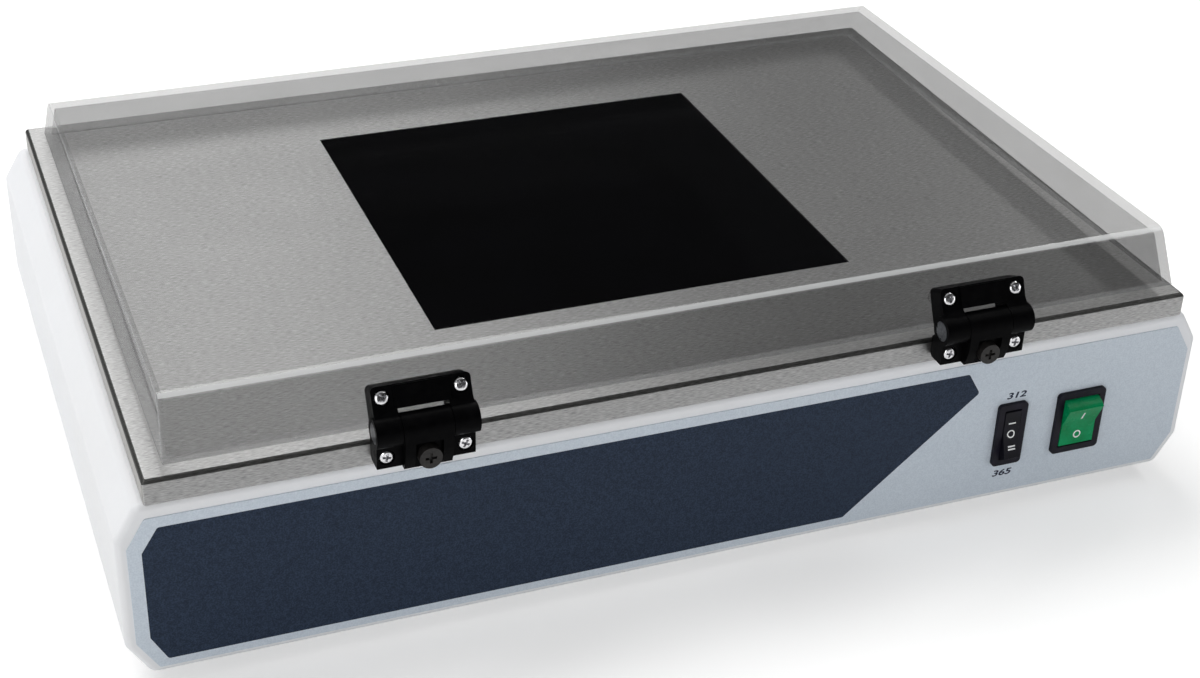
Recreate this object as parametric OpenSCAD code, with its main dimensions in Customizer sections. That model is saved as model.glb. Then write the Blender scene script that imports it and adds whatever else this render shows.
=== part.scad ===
// UV transilluminator: a low white bench cabinet with a stainless work tray, a black UV pass
// filter flush in the tray, and a tinted shield that tilts up on two friction hinges.
// X runs to the right, Y to the back and Z up; the origin lies under the middle, on the bench.

/* [Cabinet] */
// Overall width of the cabinet
body_w = 500; // [470:1:560]
// Depth of the cabinet, front face to back edge
body_d = 335; // [325:1:400]
// Height of the cabinet without feet and tray
body_h = 83; // [78:1:110]
// Thickness of the folded sheet
body_wall = 2; // [1.2:0.1:3]
// Thickness of the front wall
front_wall = 2.5; // [1.5:0.1:4]
// Width of the slope along both top edges
top_slope_w = 9; // [4:0.5:12]
// Height of the slope along both top edges
top_slope_h = 15; // [8:0.5:20]
// Width of the slope along both bottom edges
bottom_slope_w = 9.5; // [4:0.5:12]
// Height of the slope along both bottom edges
bottom_slope_h = 15.5; // [8:0.5:20]
// Rounding of the front rim
rim_round = 3; // [1:0.5:4]
// Width of the lip round the open bottom
bottom_lip = 15; // [12:1:20]
// Width of the lip round the open top, from the tray's edge
top_lip = 22; // [18:1:30]
// Width of the lip round the open back
rear_lip = 16; // [14:1:20]

/* [Front film] */
// Thickness of the printed front film
film_t = 0.5; // [0.2:0.1:1]
// Bare rim beside the film
film_side = 4.3; // [3.5:0.1:12]
// Bare rim above the film
film_top = 6; // [3.5:0.1:12]
// Bare rim below the film
film_bottom = 3.4; // [3.1:0.1:8]

/* [Base plate and feet] */
// Thickness of the base plate
base_t = 1.5; // [1:0.1:3]
// Bare rim between the cabinet's edge and the base plate
base_rim = 6; // [4:0.5:8]
// Height of the rubber feet
foot_h = 5.5; // [4:0.5:12]
// Diameter of the feet where they meet the plate
foot_d = 22; // [18:1:30]
// How far the feet stand in from the cabinet's sides
foot_inset = 45; // [35:1:60]

/* [Rear panel] */
// Thickness of the rear panel
rear_t = 1.5; // [1:0.1:3]
// Bare rim between the cabinet's edge and the rear panel
rear_rim = 4; // [3:0.5:7]
// Number of cooling slots
vent_count = 14; // [6:1:18]
// Spacing of the cooling slots
vent_pitch = 10; // [8:0.5:11]
// Width of one cooling slot
vent_w = 3; // [2:0.5:4]
// Height of one cooling slot
vent_h = 30; // [15:1:40]

/* [Tray] */
// How far the tray's sides stand in from the cabinet's sides
tray_side_in = 12.5; // [12:0.5:18]
// How far the tray's back stands in from the cabinet's back
tray_back_in = 2; // [0:0.5:6]
// Height of its folded edge
tray_h = 12; // [11:0.5:20]
// Thickness of the stainless sheet
tray_sheet = 1.2; // [0.8:0.1:2]
// Width of the fold that rests on the cabinet
tray_fold = 12; // [11:0.5:16]
// How far the tray stands out over the cabinet's front
tray_front_over = 1; // [0:0.5:3]

/* [Filter] */
// Side of the square filter glass
filter_size = 200; // [150:1:210]
// Thickness of the filter glass
filter_t = 6; // [3:0.5:8]
// Offset of the filter to the right of the tray's middle
filter_x = 3; // [-8:0.5:8]
// Offset of the filter behind the tray's middle
filter_y = 8; // [-5:0.5:12]
// Gap between glass and tray, all round
filter_gap = 0.5; // [0.2:0.1:1]
// Thickness of the seal under the glass
gasket_t = 1; // [0.5:0.1:2]
// Width of the ledge under the glass
ledge_w = 8; // [5:0.5:12]
// Thickness of the ledge under the glass
ledge_t = 2; // [1:0.1:3]
// Width of the frame outside the glass
frame_w = 12; // [10:0.5:16]

/* [Lamps] */
// Number of lamps, every second one of each kind
lamp_count = 6; // [2:2:6]
// Spacing of the lamps
lamp_pitch = 34; // [28:1:34]
// Diameter of a lamp
lamp_d = 16; // [12:0.5:18]
// Length of a lamp between its end faces
lamp_len = 288; // [240:1:290]
// Wall of the lamp glass
lamp_wall = 0.8; // [0.5:0.1:1.2]
// Length of a lamp's end cap
cap_len = 8; // [5:0.5:12]
// Length of the contact pins
lamp_pin_len = 7; // [5:0.5:8]
// Height of the lamps above the reflector
lamp_rise = 16; // [13:0.5:17]
// Thickness of a lamp holder
holder_t = 10; // [9:0.5:12]
// Thickness of the reflector sheet
reflector_t = 0.8; // [0.5:0.1:1.5]
// Height of the rails that carry the reflector
rail_h = 43; // [38:1:46]
// Width of a rail's flanges
rail_w = 20; // [14:1:20]
// Thickness of the rails
rail_t = 1.5; // [1:0.1:2]

/* [Lamp supply] */
// Width of a ballast
ballast_w = 38; // [30:1:40]
// Length of a ballast
ballast_len = 150; // [100:1:160]
// Height of a ballast
ballast_h = 26; // [18:1:30]
// Gap between the ballasts and the cabinet's sides
ballast_side_gap = 32; // [30:1:34]
// Diameter of the wiring sleeves
sleeve_d = 5; // [3:0.5:6]

/* [Switches] */
// Height of both switches above the cabinet's bottom
switch_z = 36; // [32:0.5:44]
// Thickness of the bezels
bezel_t = 2; // [1.5:0.1:3]
// Depth of the switch bodies behind the front face
switch_depth = 20; // [18:0.5:30]
// Distance of the power switch from the cabinet's right side
power_in = 60; // [50:0.5:66]
// Width of the power switch's bezel
power_w = 25; // [22:0.5:30]
// Height of the power switch's bezel
power_h = 32.5; // [30:0.5:40]
// Travel of the power rocker in degrees
power_travel = 24; // [10:1:26]
// Distance of the lamp selector from the cabinet's right side
selector_in = 96.5; // [90:0.5:105]
// Width of the selector's bezel
selector_w = 15; // [13:0.5:20]
// Height of the selector's bezel
selector_h = 33; // [30:0.5:40]
// Travel of the selector rocker in degrees
selector_travel = 20; // [10:1:26]

/* [Shield] */
// How far the shield's sides stand in from the tray's sides
cover_side_in = 8.5; // [7:0.5:20]
// How far the shield's back stands in from the tray's back
cover_back_in = 9; // [6:0.5:30]
// Height of the shield
cover_h = 24.5; // [22:0.5:60]
// Thickness of the clear sheet
cover_t = 3; // [2:0.1:4]
// Lean of the front wall in degrees
front_lean = 24; // [15:1:30]
// Lean of the back wall in degrees
back_lean = 37; // [5:1:45]
// Lean of each side wall, bottom to top
side_draft = 1.9; // [0.5:0.1:6]
// Height at which the hinges hold the front edge above the tray
cover_lift = 6; // [5.5:0.1:6.5]
// Gap at which the back edge rests over the tray
cover_gap = 0.3; // [0.1:0.1:1]

/* [Hinges] */
// Distance of each hinge from the tray's side
hinge_in = 111; // [60:0.5:150]
// Width of both hinge halves
hinge_w = 41; // [40:0.5:50]
// Diameter of the barrel
barrel_d = 13; // [12.5:0.1:14]
// Length of the barrel
barrel_len = 42.7; // [42.5:0.1:52]
// Length of the middle knuckle
knuckle_len = 20.6; // [16:0.1:21]
// Diameter of the hinge pin
hinge_pin_d = 9; // [6:0.1:9.5]
// Distance of the axis from the faces that the hinge is mounted on
axis_out = 8; // [7.8:0.1:9]
// Height of the axis above the tray
axis_up = 8.5; // [8:0.1:9]
// Thickness of the lower half
bracket_t = 9.3; // [9:0.1:11]
// How far the lower half reaches below the tray's top
bracket_drop = 8; // [7.5:0.1:8.5]
// Thickness of the upper half
leaf_t = 9.6; // [9.3:0.1:11]
// Length of the upper half from the axis
leaf_len = 18.3; // [17.5:0.1:22]
// Spacing of the two screws in each half
screw_pitch = 32.6; // [31.5:0.1:34]
// Width of the block that holds the torque screw
block_w = 20; // [16:0.5:20.5]
// How far this block stands out from the tray's edge
block_out = 13; // [12:0.1:14]
// Width of the recess round the torque screw
cup_w = 11.4; // [11:0.1:14]
// Depth of this recess
cup_depth = 1.5; // [1:0.1:2.5]
// Diameter of the torque screw's head
torque_head_d = 9.5; // [8:0.1:10.5]
// How far the torque screw's head stands out from the tray's edge
torque_out = 15.8; // [15:0.1:18]
// Depth of the torque screw below the tray's top
torque_drop = 2.7; // [2.4:0.1:3]

/* [Power inlet] */
// Distance of the inlet from the cabinet's right side
inlet_in = 65; // [55:1:100]
// Width of the inlet's flange
inlet_w = 50; // [48:0.5:56]
// Height of the inlet's flange
inlet_h = 34; // [33:0.5:40]
// Thickness of the flange
inlet_flange = 2.5; // [1.5:0.1:4]
// Depth of the inlet's body behind the rear panel
inlet_depth = 24; // [22:0.5:30]
// Width of the plug socket
socket_w = 24.6; // [24:0.1:25]
// Height of the plug socket
socket_h = 16.6; // [16:0.1:17]
// Depth of the plug socket
socket_depth = 17; // [15:0.1:18]
// Width of the fuse drawer
drawer_w = 24; // [23.5:0.1:25]
// Height of the fuse drawer
drawer_h = 7; // [6.8:0.1:7.5]
// Depth of the fuse drawer
drawer_depth = 16; // [14:0.5:18]

/* [Fits] */
// Radial play of a hinge pin, rocker pin or screw that turns
turn_play = 0.05; // [0.02:0.01:0.1]
// Overlap of a pressed pin with its bore
press = 0.02; // [0.01:0.01:0.05]
// Gap between pieces that move past each other
move_gap = 0.3; // [0.2:0.05:0.5]
// Gap round a body in its cut-out
fit_gap = 0.2; // [0.1:0.05:0.4]

/* [Hidden] */
$fn = 48;

// How far a cutting shape runs past the face that it cuts
past = 1;
// Round slices in the front rim and in other faceted rounds
rim_steps = 4;

// Standard screws: shank, head width, head height, nut width across flats, nut height
m3_d = 3;
m3_head_d = 5.6;
m3_head_h = 1.8;
m3_nut_w = 5.5;
m3_nut_h = 2.4;
m4_d = 4;
m4_head_d = 7.6;
m4_head_h = 2.2;
m4_nut_w = 7;
m4_nut_h = 3.2;
hole_play = 0.2;
thread_play = 0.05;
// How far a screw or stud stands out past its nut or thread
screw_end = 3;
nut_end = 1;
hinge_screw_head = 6.4;
// How far the hinge screws' heads stand below the castings' faces
hinge_screw_sink = 2;
// Rounding of sheet corners and cut-outs
sheet_round = 5;

// Levels
body_z = foot_h + base_t;
tray_z = body_z + body_h;
tray_top = tray_z + tray_h;
reflector_z = body_z + rail_h;
lamp_z = reflector_z + lamp_rise;

// Lengthwise places: the whole object, hinges to fuse drawer, is centred on the origin
drawer_lip = 1.6;
front_reach = max(torque_out, axis_out + barrel_d / 2) + tray_front_over;
back_reach = rear_t + inlet_flange + fit_gap + drawer_lip;
body_y = (front_reach - back_reach - body_d) / 2;
body_mid_y = body_y + body_d / 2;
rear_y = body_y + body_d;
tray_w = body_w - 2 * tray_side_in;
tray_d = body_d + tray_front_over - tray_back_in;
tray_y = body_y - tray_front_over;
filter_mid_y = tray_y + tray_d / 2 + filter_y;

// Places across the cabinet
power_x = body_w / 2 - power_in;
selector_x = body_w / 2 - selector_in;
inlet_x = body_w / 2 - inlet_in;
hinge_x = tray_w / 2 - hinge_in;

// Hinge axis, and the pose of the shield that hangs on it
axis_y = tray_y - axis_out;
axis_z = tray_top + axis_up;
cover_w = tray_w - 2 * cover_side_in;
cover_d = tray_d - cover_back_in;
cover_tilt = asin((cover_lift - cover_gap) / cover_d);
leaf_lean = front_lean + cover_tilt;
leaf_back_foot = (cover_lift - axis_up + axis_out * sin(leaf_lean)) / cos(leaf_lean);
cover_y = axis_y + axis_out * cos(leaf_lean) + leaf_back_foot * sin(leaf_lean);
leaf_screw_up = 13.5;
leaf_screw_at = screw_pitch / 2;
bracket_screw_drop = 3.1;
nut_plate_h = 5;
nut_plate_drop = 1.5;

// Switches: the rocker turns in its bezel about a pin just behind the front film
bezel_y = body_y - film_t - bezel_t;
rocker_pivot = 3.5;
rocker_proud = 0.3;
rocker_pin_r = 1.2;
bezel_rim = 1.7;
bezel_side = 1.5;
bezel_round = 2;
rocker_back = 5;

// Lamp bank
lamp_ys = [for (i = [0:lamp_count - 1]) filter_mid_y + (i - (lamp_count - 1) / 2) * lamp_pitch];
holder_rim = 1;
holder_w = lamp_d + 2 * holder_rim;
holder_x = lamp_len / 2 + fit_gap;
bank_x = holder_x + holder_t;
reflector_rim = 4;
reflector_d = (lamp_count - 1) * lamp_pitch + holder_w + 2 * reflector_rim;
rail_in = 2;
rail_x = bank_x - rail_in;
ballast_x = body_w / 2 - ballast_side_gap - ballast_w / 2;
ballast_y = body_mid_y;

// ---- Shapes used by several pieces ----

// Extrudes an outline drawn in X and Z from one Y to another
module upright(y0, y1) {
    translate([0, y1, 0]) rotate([90, 0, 0]) linear_extrude(y1 - y0) children();
}

// Extrudes an outline drawn in Y and Z from one X to another
module sideways(x0, x1) {
    translate([x0, 0, 0]) rotate([90, 0, 90]) linear_extrude(x1 - x0) children();
}

// A cylinder along X or Y, centred on the place given
module rod_x(r, len) { rotate([0, 90, 0]) cylinder(r = r, h = len, center = true); }
module rod_y(r, len) { rotate([90, 0, 0]) cylinder(r = r, h = len, center = true); }

// A rectangle with round corners, centred
module round_rect(w, h, r) {
    square([w - 2 * r, h], center = true);
    square([w, h - 2 * r], center = true);
    for (x = [-1, 1], y = [-1, 1]) translate([x * (w / 2 - r), y * (h / 2 - r)]) circle(r);
}

// A cross-head screw: its shank runs down from z = 0 and its head stands on z = 0
module pan_screw(d, len, head_d, head_h) {
    recess = head_d * 0.5;
    blade = head_d * 0.14;
    translate([0, 0, -len]) cylinder(d = d, h = len + past / 10);
    difference() {
        rotate_extrude() polygon([[0, 0], [head_d / 2, 0], [head_d / 2, head_h * 0.45],
            [head_d * 0.42, head_h * 0.8], [head_d * 0.25, head_h], [0, head_h]]);
        for (turn = [0, 90]) rotate(turn)
            translate([-recess / 2, -blade / 2, head_h * 0.4]) cube([recess, blade, head_h]);
    }
}

// A hexagon nut that stands on z = 0
module hex_nut(width, h, d) {
    difference() {
        rotate(30) cylinder(d = width / cos(30), h = h, $fn = 6);
        translate([0, 0, -past]) cylinder(d = d + 2 * thread_play, h = h + 2 * past);
    }
}

// The cabinet's eight-sided outline, drawn inwards by an inset
function slope_run(along, across, inset) =
    (inset * sqrt(along * along + across * across) + along * (across - inset)) / across;

function body_outline(inset) =
    let (side = body_w / 2 - inset,
        top = body_w / 2 - slope_run(top_slope_w, top_slope_h, inset),
        high = body_h - slope_run(top_slope_h, top_slope_w, inset),
        bottom = body_w / 2 - slope_run(bottom_slope_w, bottom_slope_h, inset),
        low = slope_run(bottom_slope_h, bottom_slope_w, inset))
    [[-top, body_h - inset], [top, body_h - inset], [side, high], [side, low],
        [bottom, inset], [-bottom, inset], [-side, low], [-side, high]];

// ---- Places shared by holes and fasteners ----

base_edge_x = body_w / 2 - bottom_slope_w - base_rim;
base_screw_in = (base_rim + bottom_lip) / 2;
base_corner_in = 25;
base_screws_at = [
    for (x = [-1, 1], y = [base_corner_in, body_d / 2, body_d - base_corner_in])
        [x * (body_w / 2 - bottom_slope_w - base_screw_in), body_y + y],
    for (x = [-1, 1], y = [base_screw_in, body_d - base_screw_in]) [x * body_w / 4, body_y + y]];

feet_at = [for (x = [-1, 1], y = [foot_inset, body_d - foot_inset])
    [x * (body_w / 2 - foot_inset), body_y + y]];

rear_screw_in = (rear_rim + rear_lip) / 2;
rear_corner_in = 40;
rear_screws_at = [
    for (x = [-1, 1]) [x * (body_w / 2 - rear_screw_in), body_h / 2],
    for (x = [-1, 0, 1], z = [rear_screw_in, body_h - rear_screw_in])
        [x * (body_w / 2 - rear_corner_in), z]];

tray_stud_in = 8;
tray_corner_in = 40;
tray_studs_at = [
    for (x = [-1, 1], y = [tray_corner_in, tray_d / 2, tray_d - tray_corner_in])
        [x * (tray_w / 2 - tray_stud_in), tray_y + y],
    for (x = [-1, 1], y = [tray_stud_in, tray_d - tray_stud_in]) [x * hinge_x / 2, tray_y + y]];

frame_stud_at = filter_size / 2 + filter_gap + (frame_w - filter_gap) / 2;
frame_studs_at = [for (a = [-1, 0, 1], b = [-1, 0, 1]) if (a != 0 || b != 0)
    [filter_x + a * frame_stud_at, filter_mid_y + b * frame_stud_at]];
frame_z = tray_top - filter_t - gasket_t - ledge_t;

rail_screws_at = [for (x = [-1, 1], y = [-1, 1])
    [filter_x + x * (rail_x - rail_w / 2), filter_mid_y + y * (lamp_count / 2 - 1) * lamp_pitch]];

ballast_tab = 12;
ballast_tab_t = 1;
ballast_screw_at = (ballast_len + ballast_tab) / 2;

function switch_cut(w, h) = [w - 2 * bezel_rim + 2 * fit_gap, h - 2 * bezel_rim + 2 * fit_gap];

inlet_z = body_z + body_h / 2;
inlet_body_w = 30;
inlet_body_h = inlet_h - 4;
inlet_screw_at = 20;
socket_z = inlet_z + 5.2;
drawer_z = inlet_z - 10.2;

// ---- Cabinet ----

// Folded and painted sheet: front wall, sides, and lips round the open top, bottom and back
module body_shell() {
    color("whitesmoke") difference() {
        translate([0, body_y, body_z]) difference() {
            hull() {
                for (i = [0:rim_steps - 1]) {
                    turn = 90 * i / rim_steps;
                    at = rim_round * (1 - cos(turn));
                    upright(at, at + past / 10) polygon(body_outline(rim_round * (1 - sin(turn))));
                }
                upright(rim_round, body_d) polygon(body_outline(0));
            }
            upright(front_wall, body_d - body_wall) polygon(body_outline(body_wall));
            upright(body_d - body_wall - past, body_d + past) polygon(body_outline(rear_lip));
        }
        translate([0, tray_y + tray_d / 2, tray_z - body_wall - past]) linear_extrude(body_wall + 2 * past)
            round_rect(tray_w - 2 * top_lip, tray_d - 2 * top_lip, sheet_round);
        translate([0, body_mid_y, body_z - past]) linear_extrude(body_wall + 2 * past)
            round_rect(body_w - 2 * (bottom_slope_w + bottom_lip), body_d - 2 * bottom_lip, sheet_round);
        for (p = tray_studs_at) translate([p[0], p[1], tray_z - body_wall - past])
            cylinder(d = m4_d + 2 * hole_play, h = body_wall + 2 * past);
        for (p = base_screws_at) translate([p[0], p[1], body_z - past])
            cylinder(d = m3_d + 2 * thread_play, h = body_wall + 2 * past);
        for (p = rear_screws_at) translate([p[0], rear_y, body_z + p[1]])
            rod_y((m3_d + 2 * thread_play) / 2, 2 * (body_wall + past));
        switch_holes(body_y, front_wall);
    }
}

// Both switch cut-outs through a sheet that starts at y0
module switch_holes(y0, thick) {
    for (s = [[power_x, switch_cut(power_w, power_h)], [selector_x, switch_cut(selector_w, selector_h)]])
        translate([s[0] - s[1][0] / 2, y0 - past, body_z + switch_z - s[1][1] / 2])
            cube([s[1][0], thick + 2 * past, s[1][1]]);
}

// Printed polyester film, glued to the front wall
module front_film() {
    low = film_bottom;
    high = body_h - film_top;
    side = body_w / 2 - film_side;
    color("lightsteelblue") difference() {
        translate([0, 0, body_z]) upright(body_y - film_t, body_y) polygon([
            [-side + top_slope_w, high], [side - top_slope_w, high],
            [side, high - top_slope_h], [side, low + bottom_slope_h],
            [side - bottom_slope_w, low], [-side + bottom_slope_w, low],
            [-side, low + bottom_slope_h], [-side, high - top_slope_h]]);
        switch_holes(body_y - film_t, film_t);
    }
}

// Sheet screwed on below, which carries the feet and all that stands inside
module base_plate() {
    color("gainsboro") difference() {
        translate([0, body_mid_y, foot_h]) linear_extrude(base_t)
            round_rect(2 * base_edge_x, body_d - 2 * base_rim, sheet_round);
        for (p = base_screws_at) translate([p[0], p[1], foot_h - past])
            cylinder(d = m3_d + 2 * hole_play, h = base_t + 2 * past);
        for (p = feet_at) translate([p[0], p[1], foot_h - past])
            cylinder(d = m4_d + 2 * hole_play, h = base_t + 2 * past);
        for (p = concat(rail_screws_at, ballast_screws_at, [terminal_at, earth_at]))
            translate([p[0], p[1], foot_h - past]) cylinder(d = m3_d + 2 * hole_play, h = base_t + 2 * past);
    }
}

module base_screws() {
    color("silver") for (p = base_screws_at) translate([p[0], p[1], foot_h]) rotate([180, 0, 0])
        pan_screw(m3_d, base_t + body_wall + screw_end, m3_head_d, m3_head_h);
}

// Round rubber feet with a sunk screw
foot_floor = 2.4;
foot_taper = 4;

module feet() {
    color("dimgray") for (p = feet_at) translate([p[0], p[1], 0]) difference() {
        cylinder(d1 = foot_d - foot_taper, d2 = foot_d, h = foot_h);
        translate([0, 0, -past]) cylinder(d = m4_d + 2 * hole_play, h = foot_h + 2 * past);
        translate([0, 0, -past]) cylinder(d = m4_head_d + 5 * hole_play, h = foot_h - foot_floor + past);
    }
}

module foot_screws() {
    color("silver") for (p = feet_at) translate([p[0], p[1], foot_h - foot_floor]) rotate([180, 0, 0])
        pan_screw(m4_d, foot_floor + base_t + m4_nut_h + nut_end, m4_head_d, m4_head_h);
}

module foot_nuts() {
    color("silver") for (p = feet_at) translate([p[0], p[1], body_z]) hex_nut(m4_nut_w, m4_nut_h, m4_d);
}

// Back wall with cooling slots and the cut-out for the power inlet
module rear_panel() {
    color("whitesmoke") difference() {
        translate([0, 0, body_z]) upright(rear_y, rear_y + rear_t) polygon(body_outline(rear_rim));
        for (p = rear_screws_at) translate([p[0], rear_y, body_z + p[1]])
            rod_y(m3_d / 2 + hole_play, 2 * (rear_t + past));
        for (i = [0:vent_count - 1])
            translate([-body_w / 4 + (i - (vent_count - 1) / 2) * vent_pitch, 0, inlet_z])
                upright(rear_y - past, rear_y + rear_t + past) union() {
                    square([vent_w, vent_h - vent_w], center = true);
                    for (z = [-1, 1]) translate([0, z * (vent_h - vent_w) / 2]) circle(d = vent_w);
                }
        translate([inlet_x, 0, inlet_z]) upright(rear_y - past, rear_y + rear_t + past)
            square([inlet_body_w + 2 * fit_gap, inlet_body_h + 2 * fit_gap], center = true);
        for (x = [-1, 1]) translate([inlet_x + x * inlet_screw_at, rear_y, inlet_z])
            rod_y(m3_d / 2 + hole_play, 2 * (rear_t + past));
    }
}

module rear_screws() {
    color("silver") for (p = rear_screws_at) translate([p[0], rear_y + rear_t, body_z + p[1]])
        rotate([-90, 0, 0]) pan_screw(m3_d, rear_t + body_wall + screw_end, m3_head_d, m3_head_h);
}

// ---- Tray and filter ----

// Stainless sheet folded down on four sides, with studs that pass through the cabinet's top lip
module tray() {
    inner_w = tray_w - 2 * tray_sheet;
    inner_d = tray_d - 2 * tray_sheet;
    color("darkgray") difference() {
        union() {
            difference() {
                translate([-tray_w / 2, tray_y, tray_z]) cube([tray_w, tray_d, tray_h]);
                translate([-inner_w / 2, tray_y + tray_sheet, tray_z + tray_sheet])
                    cube([inner_w, inner_d, tray_h - 2 * tray_sheet]);
                translate([-tray_w / 2 + tray_fold, tray_y + tray_fold, tray_z - past])
                    cube([tray_w - 2 * tray_fold, tray_d - 2 * tray_fold, tray_h / 2]);
                translate([filter_x, filter_mid_y, tray_top - tray_sheet - past])
                    linear_extrude(tray_sheet + 2 * past)
                        square(filter_size + 2 * filter_gap, center = true);
            }
            for (p = tray_studs_at) translate([p[0], p[1], tray_z - body_wall - m4_nut_h - screw_end])
                cylinder(d = m4_d, h = body_wall + m4_nut_h + screw_end + tray_sheet / 2);
            for (p = frame_studs_at) translate([p[0], p[1], frame_z - m3_nut_h - nut_end])
                cylinder(d = m3_d, h = tray_top - tray_sheet / 2 - frame_z + m3_nut_h + nut_end);
        }
        for (h = [-1, 1], s = [-1, 1])
            translate([h * hinge_x + s * leaf_screw_at, tray_y, tray_top - bracket_screw_drop])
                rod_y(m3_d / 2 + hole_play, 2 * (tray_sheet + past));
    }
}

module tray_nuts() {
    color("silver") for (p = tray_studs_at) translate([p[0], p[1], tray_z - body_wall - m4_nut_h])
        hex_nut(m4_nut_w, m4_nut_h, m4_d);
}

// Black glass that passes ultraviolet light only
module filter_glass() {
    color("black") translate([filter_x, filter_mid_y, tray_top - filter_t])
        linear_extrude(filter_t) square(filter_size, center = true);
}

module filter_gasket() {
    color("dimgray") translate([filter_x, filter_mid_y, tray_top - filter_t - gasket_t])
        linear_extrude(gasket_t) difference() {
            square(filter_size, center = true);
            square(filter_size - 2 * ledge_w, center = true);
        }
}

// Frame below the tray that carries the glass on its ledge
module filter_frame() {
    outer = filter_size + 2 * frame_w;
    color("darkslategray") difference() {
        translate([filter_x, filter_mid_y, frame_z]) difference() {
            linear_extrude(tray_top - tray_sheet - frame_z) round_rect(outer, outer, sheet_round);
            translate([0, 0, -past]) linear_extrude(filter_t + gasket_t + ledge_t)
                square(filter_size - 2 * ledge_w, center = true);
            translate([0, 0, ledge_t]) linear_extrude(filter_t + gasket_t)
                square(filter_size + 2 * filter_gap, center = true);
        }
        for (p = frame_studs_at) translate([p[0], p[1], frame_z - past])
            cylinder(d = m3_d + 2 * hole_play, h = tray_top - frame_z);
    }
}

module frame_nuts() {
    color("silver") for (p = frame_studs_at) translate([p[0], p[1], frame_z - m3_nut_h])
        hex_nut(m3_nut_w, m3_nut_h, m3_d);
}

// ---- Lamp bank ----

// Bright aluminium trough below the lamps, which carries the lamp holders
module reflector() {
    flat = reflector_d / 2;
    flare = lamp_pitch * 0.4;
    wing = lamp_rise + holder_w / 4;
    color("gainsboro") difference() {
        translate([0, filter_mid_y, reflector_z]) sideways(filter_x - bank_x, filter_x + bank_x) polygon([
            [-flat - flare, wing], [-flat, 0], [flat, 0], [flat + flare, wing],
            [flat + flare - reflector_t, wing], [flat - reflector_t, reflector_t],
            [-flat + reflector_t, reflector_t], [-flat - flare + reflector_t, wing]]);
        for (p = rail_screws_at) translate([p[0], p[1], reflector_z - past])
            cylinder(d = m3_d + 2 * hole_play, h = reflector_t + 2 * past);
    }
}

// Two channels that stand on the base plate and carry the reflector's ends
module lamp_rails() {
    color("lightgray") difference() {
        for (s = [-1, 1]) translate([filter_x, 0, body_z]) scale([s, 1, 1])
            upright(filter_mid_y - reflector_d / 2, filter_mid_y + reflector_d / 2) difference() {
                translate([rail_x - rail_w, 0]) square([rail_w, rail_h]);
                translate([rail_x - rail_w - past, rail_t])
                    square([rail_w + past - rail_t, rail_h - 2 * rail_t]);
            }
        for (p = rail_screws_at) translate([p[0], p[1], body_z - past])
            cylinder(d = m3_d + 2 * thread_play, h = rail_h + 2 * past);
    }
}

// Screws from below into the rails and from above through the reflector
module rail_screws() {
    color("silver") for (p = rail_screws_at) {
        translate([p[0], p[1], foot_h]) rotate([180, 0, 0])
            pan_screw(m3_d, base_t + rail_t + screw_end, m3_head_d, m3_head_h);
        translate([p[0], p[1], reflector_z + reflector_t])
            pan_screw(m3_d, reflector_t + rail_t + screw_end, m3_head_d, m3_head_h);
    }
}

// Round-topped sockets that grip both contact pins of each lamp end
lamp_pin_d = 2.4;
lamp_pin_at = 2.4;

module lamp_holder() {
    seat = lamp_rise - reflector_t;
    difference() {
        sideways(0, holder_t) union() {
            circle(d = holder_w);
            translate([-holder_w / 2, -seat]) square([holder_w, seat]);
        }
        for (y = [-1, 1]) translate([0, y * lamp_pin_at, 0])
            rod_x(lamp_pin_d / 2 + turn_play, 2 * (lamp_pin_len + fit_gap));
    }
}

module lamp_holders() {
    color("ivory") for (y = lamp_ys, s = [-1, 1])
        translate([filter_x + s * holder_x, y, lamp_z]) scale([s, 1, 1]) lamp_holder();
}

module lamp_glass(first) {
    glass = lamp_len - 2 * cap_len;
    for (i = [first:2:lamp_count - 1]) translate([filter_x, lamp_ys[i], lamp_z]) difference() {
        rod_x(lamp_d / 2, glass);
        rod_x(lamp_d / 2 - lamp_wall, glass + 2 * past);
    }
}

module lamps_312() { color("thistle") lamp_glass(0); }
module lamps_365() { color("midnightblue") lamp_glass(1); }

// Aluminium caps with two contact pins on each lamp end
module lamp_caps() {
    color("silver") for (y = lamp_ys, s = [-1, 1]) translate([filter_x, y, lamp_z]) scale([s, 1, 1]) {
        translate([(lamp_len - cap_len) / 2, 0, 0]) rod_x(lamp_d / 2, cap_len);
        for (p = [-1, 1]) translate([(lamp_len + lamp_pin_len) / 2 - past / 2, p * lamp_pin_at, 0])
            rod_x(lamp_pin_d / 2, lamp_pin_len + past);
    }
}

// ---- Lamp supply ----

ballast_screws_at = [for (x = [-1, 1], y = [-1, 1])
    [x * ballast_x, ballast_y + y * ballast_screw_at]];

// Electronic ballast in a sheet case with a tab at each end
module ballast(side) {
    difference() {
        translate([side * ballast_x, ballast_y, body_z]) union() {
            translate([-ballast_w / 2, -ballast_len / 2, 0]) cube([ballast_w, ballast_len, ballast_h]);
            translate([-ballast_w / 2, -ballast_len / 2 - ballast_tab, 0])
                cube([ballast_w, ballast_len + 2 * ballast_tab, ballast_tab_t]);
        }
        for (p = ballast_screws_at) translate([p[0], p[1], body_z - past])
            cylinder(d = m3_d + 2 * hole_play, h = ballast_tab_t + 2 * past);
    }
}

module ballast_312() { color("gainsboro") ballast(1); }
module ballast_365() { color("gainsboro") ballast(-1); }

module ballast_screws() {
    color("silver") for (p = ballast_screws_at) translate([p[0], p[1], body_z + ballast_tab_t])
        pan_screw(m3_d, ballast_tab_t + base_t + nut_end, m3_head_d, m3_head_h);
}

// Block that splits the mains lead to the switches and ballasts
terminal_ways = 5;
terminal_pitch = 9;
terminal_d = 20;
terminal_h = 16;
terminal_hole = 5;
terminal_in = 42;
terminal_rail_gap = 25;
terminal_at = [filter_x + rail_x - rail_w - terminal_rail_gap, rear_y - terminal_in];

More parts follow.
